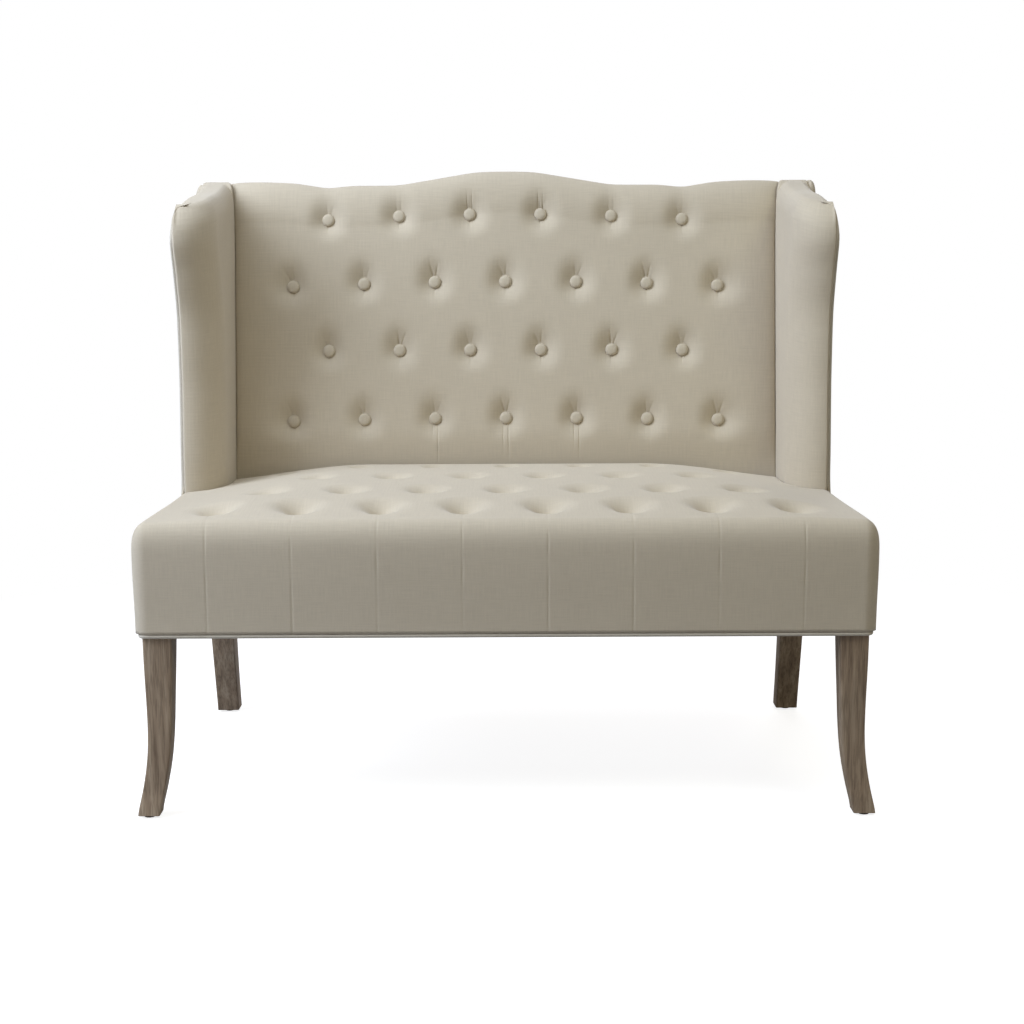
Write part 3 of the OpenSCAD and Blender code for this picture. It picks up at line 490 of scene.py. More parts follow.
def back_cover():
    end = WING_IN - CLEAR
    xs = mirrored(steps(*close_rows(BACK_PITCH, 0.011, 24, 12), 1, end - 0.070, 24, end - 0.004, 8, end))
    # v: 0..1 up the face, 1..2 over the front roll, 2..3 over the rear roll, 3..4 down; 5 and 6 on the foam
    vs = np.concatenate([steps(0, 190, 1, 28, 2, 12, 3, 4, 4), [5, 6]])

    def place(u, v):
        near = np.clip((np.abs(u) - end + END_RUN) / END_RUN, 0, 1)
        turned = 1 - np.sqrt(1 - near ** 2)
        eased = END_DROP * turned
        top = crest_at(u) - eased
        rise = top - ROLL_H
        a = quarter(v - 1)
        z = BACK_LOW + np.clip(v, 0, 1) * (rise - BACK_LOW) + ROLL_H * np.sin(a)
        foot = FOOT_SHARE * (1 - smooth((z - FOOT_H) / FOOT_RUN))
        full = (1 - turned) * (1 - foot)
        y = face_at(np.minimum(z, rise)) + END_ROLL * (1 - full) + ROLL_D * (1 - np.cos(a)) * (v > 1)
        drawn = back_relief(u, z) * full
        y, z = y + drawn * np.cos(a), z - drawn * np.sin(a)
        # over the crest and down the rear
        behind = post_rear(top - CREST_R) + PANEL_T - eased
        b = quarter(3 - v)
        y = np.where(v > 2, behind - CREST_R * (1 - np.cos(b)), y)
        z = np.where(v > 2, top - CREST_R + CREST_R * np.sin(b), z)
        fall = np.clip(v - 3, 0, 1)
        z = np.where(v > 3, top - CREST_R + (BACK_CUT - top + CREST_R) * fall, z)
        y = np.where(v > 3, post_rear(z) + PANEL_T - eased, y)
        # the side that lies on the foam
        for ring, level in ((5, BACK_CUT), (6, BACK_LOW)):
            y = np.where(v == ring, face_at(level) + FOAM_BEHIND, y)
            z = np.where(v == ring, level, z)
        spread = smooth((np.abs(u) - SPREAD_X) / (WING_IN - SPREAD_X))
        return np.stack([u + np.sign(u) * (inner_face(y) - WING_IN) * spread, y, z], 1)

    def chart(u, v):
        top = crest_at(u) - ROLL_H - BACK_LOW
        return np.stack([u, np.where(v <= 1, v * top, top + (v - 1) * 0.07)], 1)

    bm = cloth_grid(xs, vs, place, chart)
    # the last ring meets the first along the foot of the back
    low = [e for e in bm.edges if e.is_boundary and all(abs(w.co.z - BACK_LOW) < 1e-4 for w in e.verts)]
    bmesh.ops.bridge_loops(bm, edges=low)
    close(bm)
    settle(finish_mesh("back_cover", bm, LINEN), ("back_pad",))


back_cover()

# the tufted seat: the edge's reach, fall and length of cloth, and the puff of its front
SEAT_R, SEAT_ROLL_H, TURN, SEAT_PUFF, PUFF_RUN = 0.026, 0.064, 0.076, 0.004, 0.30
CORE_X, CORE_Y = 0.606 - SEAT_R, FRONT_Y + SEAT_R
SKIRT = SEAT_EDGE_H + SEAT_PUFF - SEAT_ROLL_H - SKIRT_LOW
# the skirt leans in by TUCK at its foot; its hem turns in and goes up inside
TUCK, COVER_T, HEM_UP = 0.0018, 0.0087, 0.144
# the edges between the wings and before the back, and the length of cloth in them per radius
NARROW_R, REAR_R, EDGE_SHARE = 0.008, 0.012, 1.6
REAR_CORE = FACE_Y - CLEAR - REAR_R
# half the flat middle between the wings, the gap to each wing, and the hems of the narrow stretch
MIDDLE, NARROW_GAP, NARROW_HEM, REAR_HEM = 0.45, 0.0005, 0.04, 0.03
# each row's pits, from the front: reach and depth
SEAT_REACH, SEAT_DEPTH = (0.060, 0.052, 0.048, 0.030), (0.027, 0.020, 0.017, 0.011)
SEAT_NEAR_X, SEAT_NEAR_Y = 0.08, 0.13
# the first row's pits open to the front in a valley, which narrows as it runs out
VALLEY_RUN, VALLEY_DEPTH, VALLEY_W, VALLEY_TAPER = 0.052, 0.017, 0.012, 0.006
PLEAT_START = CORE_Y - SEAT_ROWS[0] + 0.012
PLEAT_W, PLEAT_DEPTH, PLEAT_RUN = 0.0016, 0.0006, 0.20


def seat_rise(x, y):
    side, ahead = SEAT_W / 2 - np.abs(x), y - FRONT_Y
    run = SEAT_PITCH * (0.9 + 1.6 * np.maximum(0, ahead) / (FACE_Y - FRONT_Y))
    return SEAT_CROWN * (1 - (1 - np.clip(ahead / 0.45, 0, 1)) ** 2.2) * smooth(side / run)


def seat_relief(x, y):
    """A deep narrow pull at each button in a broad soft hollow, open to the front in the first row."""
    drawn = np.zeros_like(x)
    flat = BUTTON_R * 0.9
    for bx, by, row in SEAT_SPOTS:
        near = (np.abs(x - bx) < SEAT_NEAR_X) & (np.abs(y - by) < SEAT_NEAR_Y)
        dx, dy = x[near] - bx, y[near] - by
        if row == 0:
            dy = dy * np.where(dy < 0, 0.70, 1.1)
        t = np.clip((np.hypot(dx, dy) - flat) / (SEAT_REACH[row] - flat), 0, 1)
        pull = SEAT_DEPTH[row] * (0.56 * (1 - t) ** 4.5 + 0.44 * (1 - smooth(t)) ** 1.25)
        if row == 0:
            ahead = np.clip(-dy / VALLEY_RUN, 0, 1)
            width = VALLEY_W - VALLEY_TAPER * ahead
            valley = VALLEY_DEPTH * (1 - smooth(ahead)) * np.exp(-(np.abs(dx) / width) ** 1.3)
            pull = np.maximum(pull, np.where(dy < 0, valley, 0))
        drawn[near] = np.maximum(drawn[near], pull)
    return drawn


def seat_pleats(s, t):
    """Pleats from the first row of buttons, over the front edge and down to the welt."""
    drawn = np.zeros_like(s)
    ahead = -t - PLEAT_START
    along = np.clip(ahead / PLEAT_RUN, 0, 1)
    for k in SEAT_COLUMNS[0]:
        for side in (-1, 1):
            line = np.exp(-((s - side * k * SEAT_PITCH / 2) / PLEAT_W) ** 2)
            depth = PLEAT_DEPTH * (0.62 + 0.38 * np.sin(19 * along + 2.3 * side * k))
            drawn += np.where(ahead > 0, depth * smooth(ahead / 0.01), 0) * line
    return drawn


# a cover's edge: a quick turn at the top that eases into the upright side, added up along the cloth
FOLD_SHARES = np.linspace(0, 1, 241)
FOLD_TILT = math.pi / 2 * (1 - FOLD_SHARES) ** 3
FOLD_MIDDLE = (FOLD_TILT[1:] + FOLD_TILT[:-1]) / 2
OUT_SHARES = np.concatenate([[0], np.cumsum(np.sin(FOLD_MIDDLE))])
DOWN_SHARES = np.concatenate([[0], np.cumsum(np.cos(FOLD_MIDDLE))])


def fold(d, out, down, length):
    """At d along a cover's edge: how far out, how far down, and how upright and how level it is."""
    share = np.clip(d / length, 0, 1)
    tilt = np.interp(share, FOLD_SHARES, FOLD_TILT)
    reach = out * np.interp(share, FOLD_SHARES, OUT_SHARES / OUT_SHARES[-1])
    drop = down * np.interp(share, FOLD_SHARES, DOWN_SHARES / DOWN_SHARES[-1])
    return reach, drop + np.maximum(0, d - length), np.cos(tilt), np.sin(tilt)


def seat_cover():
    skirt_end = TURN + SKIRT
    hem_end = skirt_end + COVER_T
    inner_end = hem_end + HEM_UP
    outer = CORE_X - MIDDLE + inner_end
    rear_turn = REAR_R * math.pi / 2
    # s: across the cloth from the middle; t: along it from the core of the front edge
    ss = mirrored(steps(*close_rows(SEAT_PITCH, 0.008, 12, 13), 6, MIDDLE, 8, 0.475, 16, WING_IN, 26, CORE_X,
                        22, CORE_X + TURN, 18, CORE_X + skirt_end, 2, CORE_X + hem_end, 4, MIDDLE + outer))
    front = -steps(0, 22, TURN, 22, skirt_end, 2, hem_end, 4, inner_end)
    rear = REAR_CORE - CORE_Y
    ts = np.concatenate([front[:0:-1], steps(0, 120, WING_Y - 0.0005 - CORE_Y),
                         steps(WING_Y + 0.0007 - CORE_Y, 48, rear, 8, rear + rear_turn, 4,
                               rear + rear_turn + REAR_HEM)])

    def wide_edge(s, t, pleat):
        """Before the wings: x, y, the drop, what is taken up inside, how level it is, and if on top."""
        a = np.maximum(0, np.abs(s) - CORE_X)
        b = np.maximum(0, -t)
        d = np.maximum(a, b)
        turn = np.arctan2(b, a)
        hem = np.clip(d - skirt_end, 0, COVER_T)
        up = np.clip(d - hem_end, 0, None)
        reach, drop, upright, level = fold(np.minimum(d, skirt_end), SEAT_R, SEAT_ROLL_H, TURN)
        tuck = TUCK * smooth((drop - 0.06) / 0.115)
        drop = drop - up
        edge = reach - hem - (tuck + pleat * upright) * (drop > 0)
        x = np.sign(s) * (np.minimum(np.abs(s), CORE_X) + edge * np.cos(turn))
        x = np.where((b <= 0) & (a <= 0), s, x)
        y = np.where(b > 0, CORE_Y - edge * np.sin(turn), CORE_Y + t)
        return x, y, drop, up, level, d < TURN

    def narrow_edge(s, t):
        """Between the wings: x, the drop, and the share of the way to the hem."""
        share = np.clip((np.abs(s) - MIDDLE) / outer, 0, 1)
        limit = mouth(np.minimum(CORE_Y + t, REAR_CORE)) - NARROW_R - MIDDLE - NARROW_GAP
        n = share * (limit + NARROW_R * math.pi / 2 + NARROW_HEM)
        reach, drop, _, _ = fold(np.maximum(0, n - limit), NARROW_R, NARROW_R, NARROW_R * EDGE_SHARE)
        aside = np.abs(s) > MIDDLE
        x = np.where(aside, np.sign(s) * (MIDDLE + np.minimum(n, limit) + reach), s)
        return x, np.where(aside, drop, 0), share

    def place(s, t):
        wide = t < WING_Y - CORE_Y
        pleat = seat_pleats(s, t)
        x, y, drop, up, level, on_top = wide_edge(s, t, pleat)
        narrow_x, narrow_drop, share = narrow_edge(s, t)
        x = np.where(wide, x, narrow_x)
        drop = np.where(wide, drop, narrow_drop)
        # the rear edge goes down before the back
        c = np.maximum(0, CORE_Y + t - REAR_CORE)
        rear_reach, rear_drop, _, _ = fold(c, REAR_R, REAR_R, REAR_R * EDGE_SHARE)
        y = np.where(c > 0, REAR_CORE + rear_reach, y)
        drop = np.maximum(drop, rear_drop)
        puff = SEAT_PUFF * (1 - smooth((y - FRONT_Y - 0.02) / PUFF_RUN))
        z = SEAT_EDGE_H + puff + seat_rise(x, y) - drop
        z = z - np.where(on_top & (c <= 0) | ~wide, seat_relief(x, y) + pleat * level, 0)
        # the last row all round lies on the foam's level, which closes the cover
        rear_end = rear_turn + REAR_HEM - 0.00005
        last = (up >= HEM_UP - 0.0001) & wide | (share > 0.9999) & ~wide | (c > rear_end)
        z = np.where(last, FOAM_TOP, np.maximum(z, np.where(wide & (up <= 0), SKIRT_LOW, 0)))
        z = np.where(~wide | (c > 0), np.maximum(z, FOAM_TOP), z)
        return np.stack([x, y, z], 1)

    bm = cloth_grid(ss, ts, place, lambda s, t: np.stack([s, t], 1))
    close(bm)
    settle(finish_mesh("seat_cover", bm, LINEN), ("seat_pad",))


seat_cover()

# wings: the front's line against height, and the tops of the cover and of the panel from front to rear
FRONT_SWING, TOP_DROP = 0.038, 0.048
FRONT_SHARES = [[0.1, 0], [0.35, 0.3], [0.54, 0.26], [0.6, 0.12], [0.655, -0.18], [0.73, -0.53],
                [0.77, -0.87], [0.805, -1], [0.854, -0.92], [0.9, -0.7], [1, -0.4]]
COVER_SHARES = [[-1, 1.2], [0, 1.15], [0.11, 0.99], [0.2, 0.86], [0.36, 0.69], [0.66, 0.5], [0.81, 0.34],
                [1, 0.08], [1.12, 0]]
PANEL_SHARES = [[0, 1.2], [0.13, 1.12], [0.28, 1.02], [0.46, 0.92], [0.71, 0.77], [0.84, 0.62],
                [1, 0.44], [2, 0.4]]
WING_R, WING_LOW, WING_REAR = 0.024, 0.4063, 0.312
# the outer side's sweep, the inner side's roll, and the share of the fall that the outer roll takes up
PANEL_SWEEP, INNER_ROLL, FALL_SHARE = 0.017, 0.040, 1.1
# how far the inner side goes behind the back's face, and where both sides run out over the crest
INNER_BEHIND, RUN_OUT_H, RUN_OUT = 0.0172, 0.99, 0.03
# the height where the front's line ends, under the roll
FRONT_TOP = 1.0
# the share of each side that the rounded front takes
NOSE_SHARE = 0.36
# the cloth's lengths: inner and outer front, side, height and the roll on top
NOSE_IN_CLOTH, NOSE_OUT_CLOTH, SIDE_CLOTH, UP_CLOTH, OVER_CLOTH = 0.104, 0.042, 0.15, 0.60, 0.037


def wing_front(z):
    return WING_Y + FRONT_SWING * rounded((z - SEAT_EDGE_H) / (WING_H - SEAT_EDGE_H), FRONT_SHARES)


TOP_FRONT, TOP_REAR = float(wing_front(WING_H - 2 * TOP_DROP)), float(face_at(WING_H))


def wing_top(y, shares=COVER_SHARES):
    return WING_H - TOP_DROP * rounded((y - TOP_FRONT) / (TOP_REAR - TOP_FRONT), shares)


def wing_cover(name, hand, node):
    # w: round the wing from its inner rear edge to the outer one and back; v: up, over and to the middle
    ws = np.concatenate([steps(-1, 50, -NOSE_SHARE, 80, NOSE_SHARE, 50, 1), [2]])
    vs = steps(0, 190, 1, 16, 2, 14, 3)

    def place(w, v):
        wrapped = np.where(w > 1.5, -1.0, w)
        m = np.abs(wrapped)
        inward = wrapped < 0
        back = np.clip((m - NOSE_SHARE) / (1 - NOSE_SHARE), 0, 1)
        phi = quarter((NOSE_SHARE - m) / NOSE_SHARE)
        nx, ny = np.cos(phi), np.sin(phi)
        a = quarter(v - 1)
        c = np.clip(v - 2, 0, 1)
        inset = WING_R * (1 - np.cos(a))

        def line(sweep, front, behind):
            ahead = front + inset + (sweep - inset) * (1 - ny)
            return ahead + (behind - ahead) * back

        def joined(inner, outer):
            """The side's own value, which goes to the middle of both as the top closes."""
            own = np.where(inward, inner, outer)
            return own + ((inner + outer) / 2 - own) * c

        guess = joined(*(line(sweep, TOP_FRONT, WING_REAR) for sweep in (WING_SWEEP, PANEL_SWEEP)))
        crown = wing_top(guess)
        roll = np.where(inward, INNER_ROLL, WING_R + FALL_SHARE * (crown - wing_top(guess, PANEL_SHARES)))
        z = WING_LOW + np.clip(v, 0, 1) * (crown - roll - WING_LOW) + roll * np.sin(a)
        behind = face_at(z) + np.where(inward, INNER_BEHIND, -CLEAR)
        behind = behind + smooth((z - RUN_OUT_H) / RUN_OUT) * (WING_REAR - behind)
        front = wing_front(np.minimum(z, FRONT_TOP))
        y = joined(*(line(sweep, front, behind) for sweep in (WING_SWEEP, PANEL_SWEEP)))
        inner = WING_NOSE - (WING_NOSE - inner_face(y) - inset) * nx
        outer = WING_NOSE + (FRAME_X - WING_NOSE - inset) * nx
        middle = WING_NOSE + ((inner_face(y) + FRAME_X) / 2 - WING_NOSE) * nx
        x = np.where(inward, inner, outer)
        x = x + (middle - x) * c
        return np.stack([hand * x, y, z], 1)

    def chart(w, v):
        m = np.minimum(np.abs(w), 1)
        nose = np.where(w < 0, NOSE_IN_CLOTH, NOSE_OUT_CLOTH)
        side = nose + (m - NOSE_SHARE) / (1 - NOSE_SHARE) * SIDE_CLOTH
        around = np.where(m < NOSE_SHARE, m / NOSE_SHARE * nose, side) * np.sign(w)
        return np.stack([around, np.where(v < 1, v * UP_CLOTH, UP_CLOTH + (v - 1) * OVER_CLOTH)], 1)

    bm = cloth_grid(ws, vs, place, chart)
    close(bm)
    settle(finish_mesh(name, bm, LINEN), (node,))


# the humps: their sides, their seam, their eased inner edge, and the panel that they stop at
HUMP_IN, HUMP_OUT, HUMP_SEAM_X, HUMP_SEAM_W, HUMP_SEAM_D = 0.4913, 0.598, 0.5845, 0.0018, 0.0035
HUMP_EASE, HUMP_DROP, HUMP_STOP, HUMP_LOW = 0.006, 0.005, 0.5895, BACK_CUT - 0.02
# the inner side follows the wing's inner face, a gap from the back's cover, and this eases off outwards
HUMP_GAP, HUMP_RUN = 0.0004, 0.085


def wing_hump(name, hand, r):
    """The part of a wing that goes over the end of the crest rail, with an outer edge of radius r."""
    before_seam = HUMP_SEAM_X - 0.0115
    xs = np.concatenate([steps(HUMP_IN, 4, HUMP_IN + HUMP_EASE, 24, before_seam, 20, HUMP_OUT - r),
                         HUMP_OUT - r + r * np.sin(np.linspace(0, math.pi / 2, 14)[1:])])
    # v: 0..1 up the front, 1..2 and 2..3 over the crest, 3..4 down the rear
    vs = steps(0, 4, 1, 14, 2, 12, 3, 8, 4)

    def place(u, v):
        outer = np.clip((u - (HUMP_OUT - r)) / r, 0, 1)
        inner = np.clip((HUMP_IN + HUMP_EASE - u) / HUMP_EASE, 0, 1)
        eased = r * (1 - np.sqrt(1 - outer ** 2)) + HUMP_DROP * (1 - np.sqrt(1 - inner ** 2))
        eased = eased + HUMP_SEAM_D * np.exp(-((u - HUMP_SEAM_X) / HUMP_SEAM_W) ** 2)
        rise = crest_at(u) - eased - CREST_R
        ahead, behind = face_at(rise) + eased, post_rear(rise) + PANEL_T - eased * 0.3
        a, b = quarter(v - 1), quarter(3 - v)
        y = np.where(v < 2, ahead + CREST_R * (1 - np.cos(a)), behind - CREST_R * (1 - np.cos(b)))
        z = rise + CREST_R * np.where(v < 2, np.sin(a), np.sin(b))
        z = np.where(v < 1, HUMP_LOW + (rise - HUMP_LOW) * v, z)
        z = np.where(v > 3, rise + (BACK_CUT - rise) * (v - 3), z)
        x = u + (inner_face(y) + HUMP_GAP - HUMP_IN) * (1 - smooth((u - HUMP_IN) / HUMP_RUN))
        x = np.where(v < 1, np.minimum(x, HUMP_STOP), x)
        return np.stack([hand * x, y, z], 1)

    bm = cloth_grid(xs, vs, place, lambda u, v: np.stack([u, v * 0.045], 1))
    close(bm)
    settle(finish_mesh(name, bm, LINEN))


for side_name, hand, end_r in (("left", -1, 0.024), ("right", 1, 0.011)):
    wing_cover("wing_cover_" + side_name, hand, "wing_pad_" + side_name)
    wing_hump("wing_hump_" + side_name, hand, end_r)


# legs and posts: tables of height, curve and growth, in shares from the glide to the leg's top
FRONT_LEG_SHARES = [[0, 1, 0], [0.05, 0.84, 0], [0.11, 0.66, 0], [0.19, 0.46, 0.03], [0.29, 0.26, 0.08],
                    [0.40, 0.13, 0.16], [0.52, 0.07, 0.30], [0.66, 0.05, 0.50], [0.82, 0.03, 0.78],
                    [1, 0, 1]]
REAR_LEG_SHARES = [[0, 1, 0], [0.12, 0.82, 0.04], [0.25, 0.63, 0.12], [0.38, 0.45, 0.24],
                   [0.52, 0.28, 0.40], [0.66, 0.14, 0.58], [0.82, 0.04, 0.80], [1, 0, 1]]
CURVE, GROWTH = 1, 2
GLIDE_H, LEG_X, FRONT_LEG_Y, REAR_LEG_Y, POST_FRONT_Y = 0.005, 0.567, -0.319, 0.275, 0.251
LEG_EASE, FOOT_RING = 0.003, 0.002
# the foot's side, its growth to the top, and how far the foot stands out to the side and to the front
FRONT_FOOT, FRONT_GROWTH, FRONT_OUT, FRONT_AHEAD = 0.036, 0.012, 0.025, 0.00875
REAR_FOOT, REAR_GROWTH, REAR_OUT = 0.0425, 0.0055, 0.05576


def squares(name, levels, centre, sides, node):
    """A tapered square with eased edges, drawn up through its levels."""
    corner = np.linspace(0, math.pi / 2, 5)
    ring = np.array([(math.cos(a + q * math.pi / 2), math.sin(a + q * math.pi / 2))
                     for q in range(4) for a in corner])
    corners = np.repeat([(1, 1), (-1, 1), (-1, -1), (1, -1)], len(corner), axis=0)

    def place(u, v):
        k = u.astype(int) % len(ring)
        own = [middle + corners[k, n] * (side / 2 - LEG_EASE) + ring[k, n] * LEG_EASE
               for n, (middle, side) in enumerate(zip(centre(v), sides(v)))]
        return np.stack([*own, v], 1)

    around = np.arange(len(ring) + 1, dtype=float)
    bm = cloth_grid(around, levels, place, lambda u, v: np.stack([u * 0.01, v], 1))
    close(bm)
    settle(finish_mesh(name, bm, OAK), (node,))


def leg_share(z, shares, column):
    """A column of a leg's table at a height."""
    return rounded((z - GLIDE_H) / (LEG_H - GLIDE_H), shares, column, ease=0.06, samples=9)


def leg(name, hand, node):
    def centre(z):
        curve = leg_share(z, FRONT_LEG_SHARES, CURVE)
        return hand * (LEG_X + FRONT_OUT * curve), FRONT_LEG_Y - FRONT_AHEAD * curve

    def sides(z):
        side = FRONT_FOOT + FRONT_GROWTH * leg_share(z, FRONT_LEG_SHARES, GROWTH)
        return side, side

    squares(name, steps(GLIDE_H, 2, GLIDE_H + FOOT_RING, 70, LEG_H, 2, RAIL_TOP), centre, sides, node)


def post(name, hand, node):
    """A rear leg and the post above it, whose two faces lean apart from the seat's frame up."""
    def post_front(z):
        return POST_FRONT_Y + np.maximum(0, z - RAIL_TOP) * POST_FRONT_LEAN

    def centre(z):
        low = REAR_LEG_Y + REAR_OUT * leg_share(z, REAR_LEG_SHARES, CURVE)
        middle = (post_rear(z) + post_front(z)) / 2
        return np.full_like(z, hand * LEG_X), np.where(z > RAIL_TOP, middle, low)

    def sides(z):
        low = REAR_FOOT + REAR_GROWTH * leg_share(z, REAR_LEG_SHARES, GROWTH)
        return low, np.where(z > RAIL_TOP, post_rear(z) - post_front(z), low)

    levels = steps(GLIDE_H, 2, GLIDE_H + FOOT_RING, 70, LEG_H, 2, RAIL_TOP, 6, POST_TOP)
    squares(name, levels, centre, sides, node)


for side_name, hand in (("left", -1), ("right", 1)):
    leg("front_leg_" + side_name + "_finished", hand, "front_leg_" + side_name)
    post("rear_post_" + side_name + "_finished", hand, "rear_post_" + side_name)

# welts: covered cords, cut on the bias, whose weave so runs aslant
SEAT_CORD_R, WING_CORD_R, CORD_SIDES, BIAS_SHARE = 0.0036, 0.0035, 12, 0.7
SKIRT_CORNER, SKIRT_STEP = 0.012, 0.02
# the wing's welt: how far outside the panel's edge it runs, its foot, the bend above and its end
WELT_OFF, WELT_FOOT_Y, WELT_FOOT_H = 0.00525, WING_Y + 0.0045, (0.316, 0.452)
WELT_BEND = [(0.0465, 0.462), (0.052, 0.474), (0.059, 0.484), (0.064, 0.495)]
WELT_END = [(0.298, 1.0315), (0.318, 1.0350)]
# how far the panel's front edge lies behind the wing's front
EDGE_BEHIND = 0.031


def welt(name, path, radius, node, closed=False):
    """A covered cord along a line."""
    path = np.array(path, float)
    ahead = np.roll(path, -1, 0) - np.roll(path, 1, 0)
    if not closed:
        ahead[0], ahead[-1] = path[1] - path[0], path[-1] - path[-2]
    ahead /= np.linalg.norm(ahead, axis=1)[:, None]
    run = np.concatenate([[0], np.cumsum(np.linalg.norm(np.diff(path, axis=0), axis=1))])
    # square to the plane that the cord lies in
    across = (1.0, 0, 0) if np.ptp(path[:, 0]) < 1e-6 else (0, 0, 1.0)
    up = np.tile(across, (len(path), 1))
    side = np.cross(ahead, up)
    if closed:
        path, side, up = (np.concatenate([a, a[:1]]) for a in (path, side, up))
        run = np.append(run, run[-1] + np.linalg.norm(path[-1] - path[-2]))

    def place(u, v):
        k = v.astype(int)
        a = u * 2 * math.pi
        return path[k] + radius * (np.cos(a)[:, None] * side[k] + np.sin(a)[:, None] * up[k])

    def chart(u, v):
        along = run[v.astype(int)] * BIAS_SHARE
        return np.stack([u * 2 * math.pi * radius + along, along], 1)

    bm = cloth_grid(np.linspace(0, 1, CORD_SIDES + 1), np.arange(len(path), dtype=float), place, chart)
    close(bm, 0.00002)
    settle(finish_mesh(name, bm, WELT_LINEN), (node,))


def panel_edge(off):
    """The front and top edge of a wing's outside panel, or with off the line of the welt along it."""
    zs = SEAT_EDGE_H + (WING_H - SEAT_EDGE_H) * np.linspace(0.03, 0.83, 70)
    front = np.stack([wing_front(zs) + EDGE_BEHIND - off, zs + off * 0.2], 1)
    ys = TOP_FRONT + (TOP_REAR - TOP_FRONT) * np.linspace(0.25, 1, 30)
    top = np.stack([ys, wing_top(ys, PANEL_SHARES) - WING_R * 0.6 + off], 1)
    line = np.concatenate([front, top])
    if off:
        foot = [(WELT_FOOT_Y, z) for z in np.linspace(*WELT_FOOT_H, 8)]
        line = np.concatenate([foot, WELT_BEND, line, WELT_END])
    for _ in range(6):
        line[1:-1] = (line[:-2] + line[1:-1] * 2 + line[2:]) / 4
    return line


def skirt_line(grow):
    """Once round the foot of the seat, a little outside the rails."""
    x, y0, y1 = FRAME_X + grow, RAIL_FRONT_Y - grow, REAR_Y + grow
    corners = []
    for cx, cy, start in ((x - SKIRT_CORNER, y1 - SKIRT_CORNER, 0), (SKIRT_CORNER - x, y1 - SKIRT_CORNER, 90),
                          (SKIRT_CORNER - x, y0 + SKIRT_CORNER, 180),
                          (x - SKIRT_CORNER, y0 + SKIRT_CORNER, 270)):
        for a in np.radians(np.linspace(start, start + 90, 10)):
            corners.append((cx + SKIRT_CORNER * math.cos(a), cy + SKIRT_CORNER * math.sin(a)))
    ring = []
    for a, b in zip(corners, corners[1:] + corners[:1]):
        count = max(1, int(math.dist(a, b) / SKIRT_STEP))
        ring.extend((a[0] + (b[0] - a[0]) * k / count, a[1] + (b[1] - a[1]) * k / count)
                    for k in range(count))
    return ring


seat_cord = [(x, y, LEG_H + SEAT_CORD_R) for x, y in skirt_line(SEAT_CORD_R)]
welt("seat_welt_cord", seat_cord, SEAT_CORD_R, "seat_welt", closed=True)
for side_name, hand in (("left", -1), ("right", 1)):
    wing_cord = [(hand * (FRAME_X + WING_CORD_R), y, z) for y, z in panel_edge(WELT_OFF)]
    welt("wing_cord_" + side_name, wing_cord, WING_CORD_R, "wing_welt_" + side_name)

# outside covers, on their boards: the side panels' eased edge, their rear top and its cut corner
PANEL_EASE, PANEL_TOP, PANEL_CUT_Y, PANEL_CUT_H = 0.0016, 1.020, 0.009, 0.018
# the height up to which a side panel's front edge is upright
PANEL_START_H = 0.483


def side_panel(name, outline, near, far, node):
    """A board's outline, given its thickness and an eased outer face."""
    bm = bmesh.new()
    layer = bm.loops.layers.uv.new("cloth")
    face = bm.faces.new([bm.verts.new((near, y, z)) for y, z in outline])
    grown = bmesh.ops.extrude_face_region(bm, geom=[face])
    moved = [g for g in grown["geom"] if isinstance(g, bmesh.types.BMVert)]
    bmesh.ops.translate(bm, verts=moved, vec=(far - near, 0, 0))
    bmesh.ops.recalc_face_normals(bm, faces=bm.faces)
    rim = [e for e in bm.edges if all(abs(w.co.x - far) < 1e-6 for w in e.verts)]
    bmesh.ops.bevel(bm, geom=rim, offset=PANEL_EASE, segments=3, profile=0.5, affect="EDGES", material=-1)
    for face in bm.faces:
        for loop in face.loops:
            loop[layer].uv = loop.vert.co.yz
    obj = finish_mesh(name, bm, LINEN)
    # the two large faces stay flat
    obj.data.polygons.foreach_set("use_smooth", [len(p.vertices) < 5 for p in obj.data.polygons])
    settle(obj, (node,))


for side_name, hand in (("left", -1), ("right", 1)):
    rear_edge = post_rear(PANEL_TOP) + PANEL_T
    outline = [(WING_Y, SKIRT_LOW), (WING_Y, PANEL_START_H), *panel_edge(0),
               (rear_edge - PANEL_CUT_Y, PANEL_TOP + PANEL_CUT_H), (rear_edge, PANEL_TOP),
               (REAR_Y + PANEL_T, RAIL_TOP), (REAR_Y + PANEL_T, SKIRT_LOW)]
    side_panel("outside_cover_" + side_name, outline, hand * FRAME_X, hand * (FRAME_X + PANEL_T),
               "outside_wing_" + side_name)


def rear_cover():
    xs = steps(-FRAME_X, 2, 0.003 - FRAME_X, 60, FRAME_X - 0.003, 2, FRAME_X)
    up = steps(SKIRT_LOW, 8, RAIL_TOP, 60, BACK_CUT - CLEAR)
    # up the outer side and down the inner one
    zs = np.concatenate([up, up[::-1]])

    def place(u, v):
        k = v.astype(int)
        return np.stack([u, post_rear(zs[k]) + np.where(k < len(up), PANEL_T, 0), zs[k]], 1)

    bm = cloth_grid(xs, np.arange(len(zs), dtype=float), place,
                    lambda u, v: np.stack([u, zs[v.astype(int)]], 1))
    low = [e for e in bm.edges if e.is_boundary and all(abs(w.co.z - SKIRT_LOW) < 1e-5 for w in e.verts)
           and abs(e.verts[0].co.y - e.verts[1].co.y) < 1e-5]
    bmesh.ops.bridge_loops(bm, edges=low)
    close(bm)
    settle(finish_mesh("rear_cover", bm, LINEN), ("outside_back",))


rear_cover()

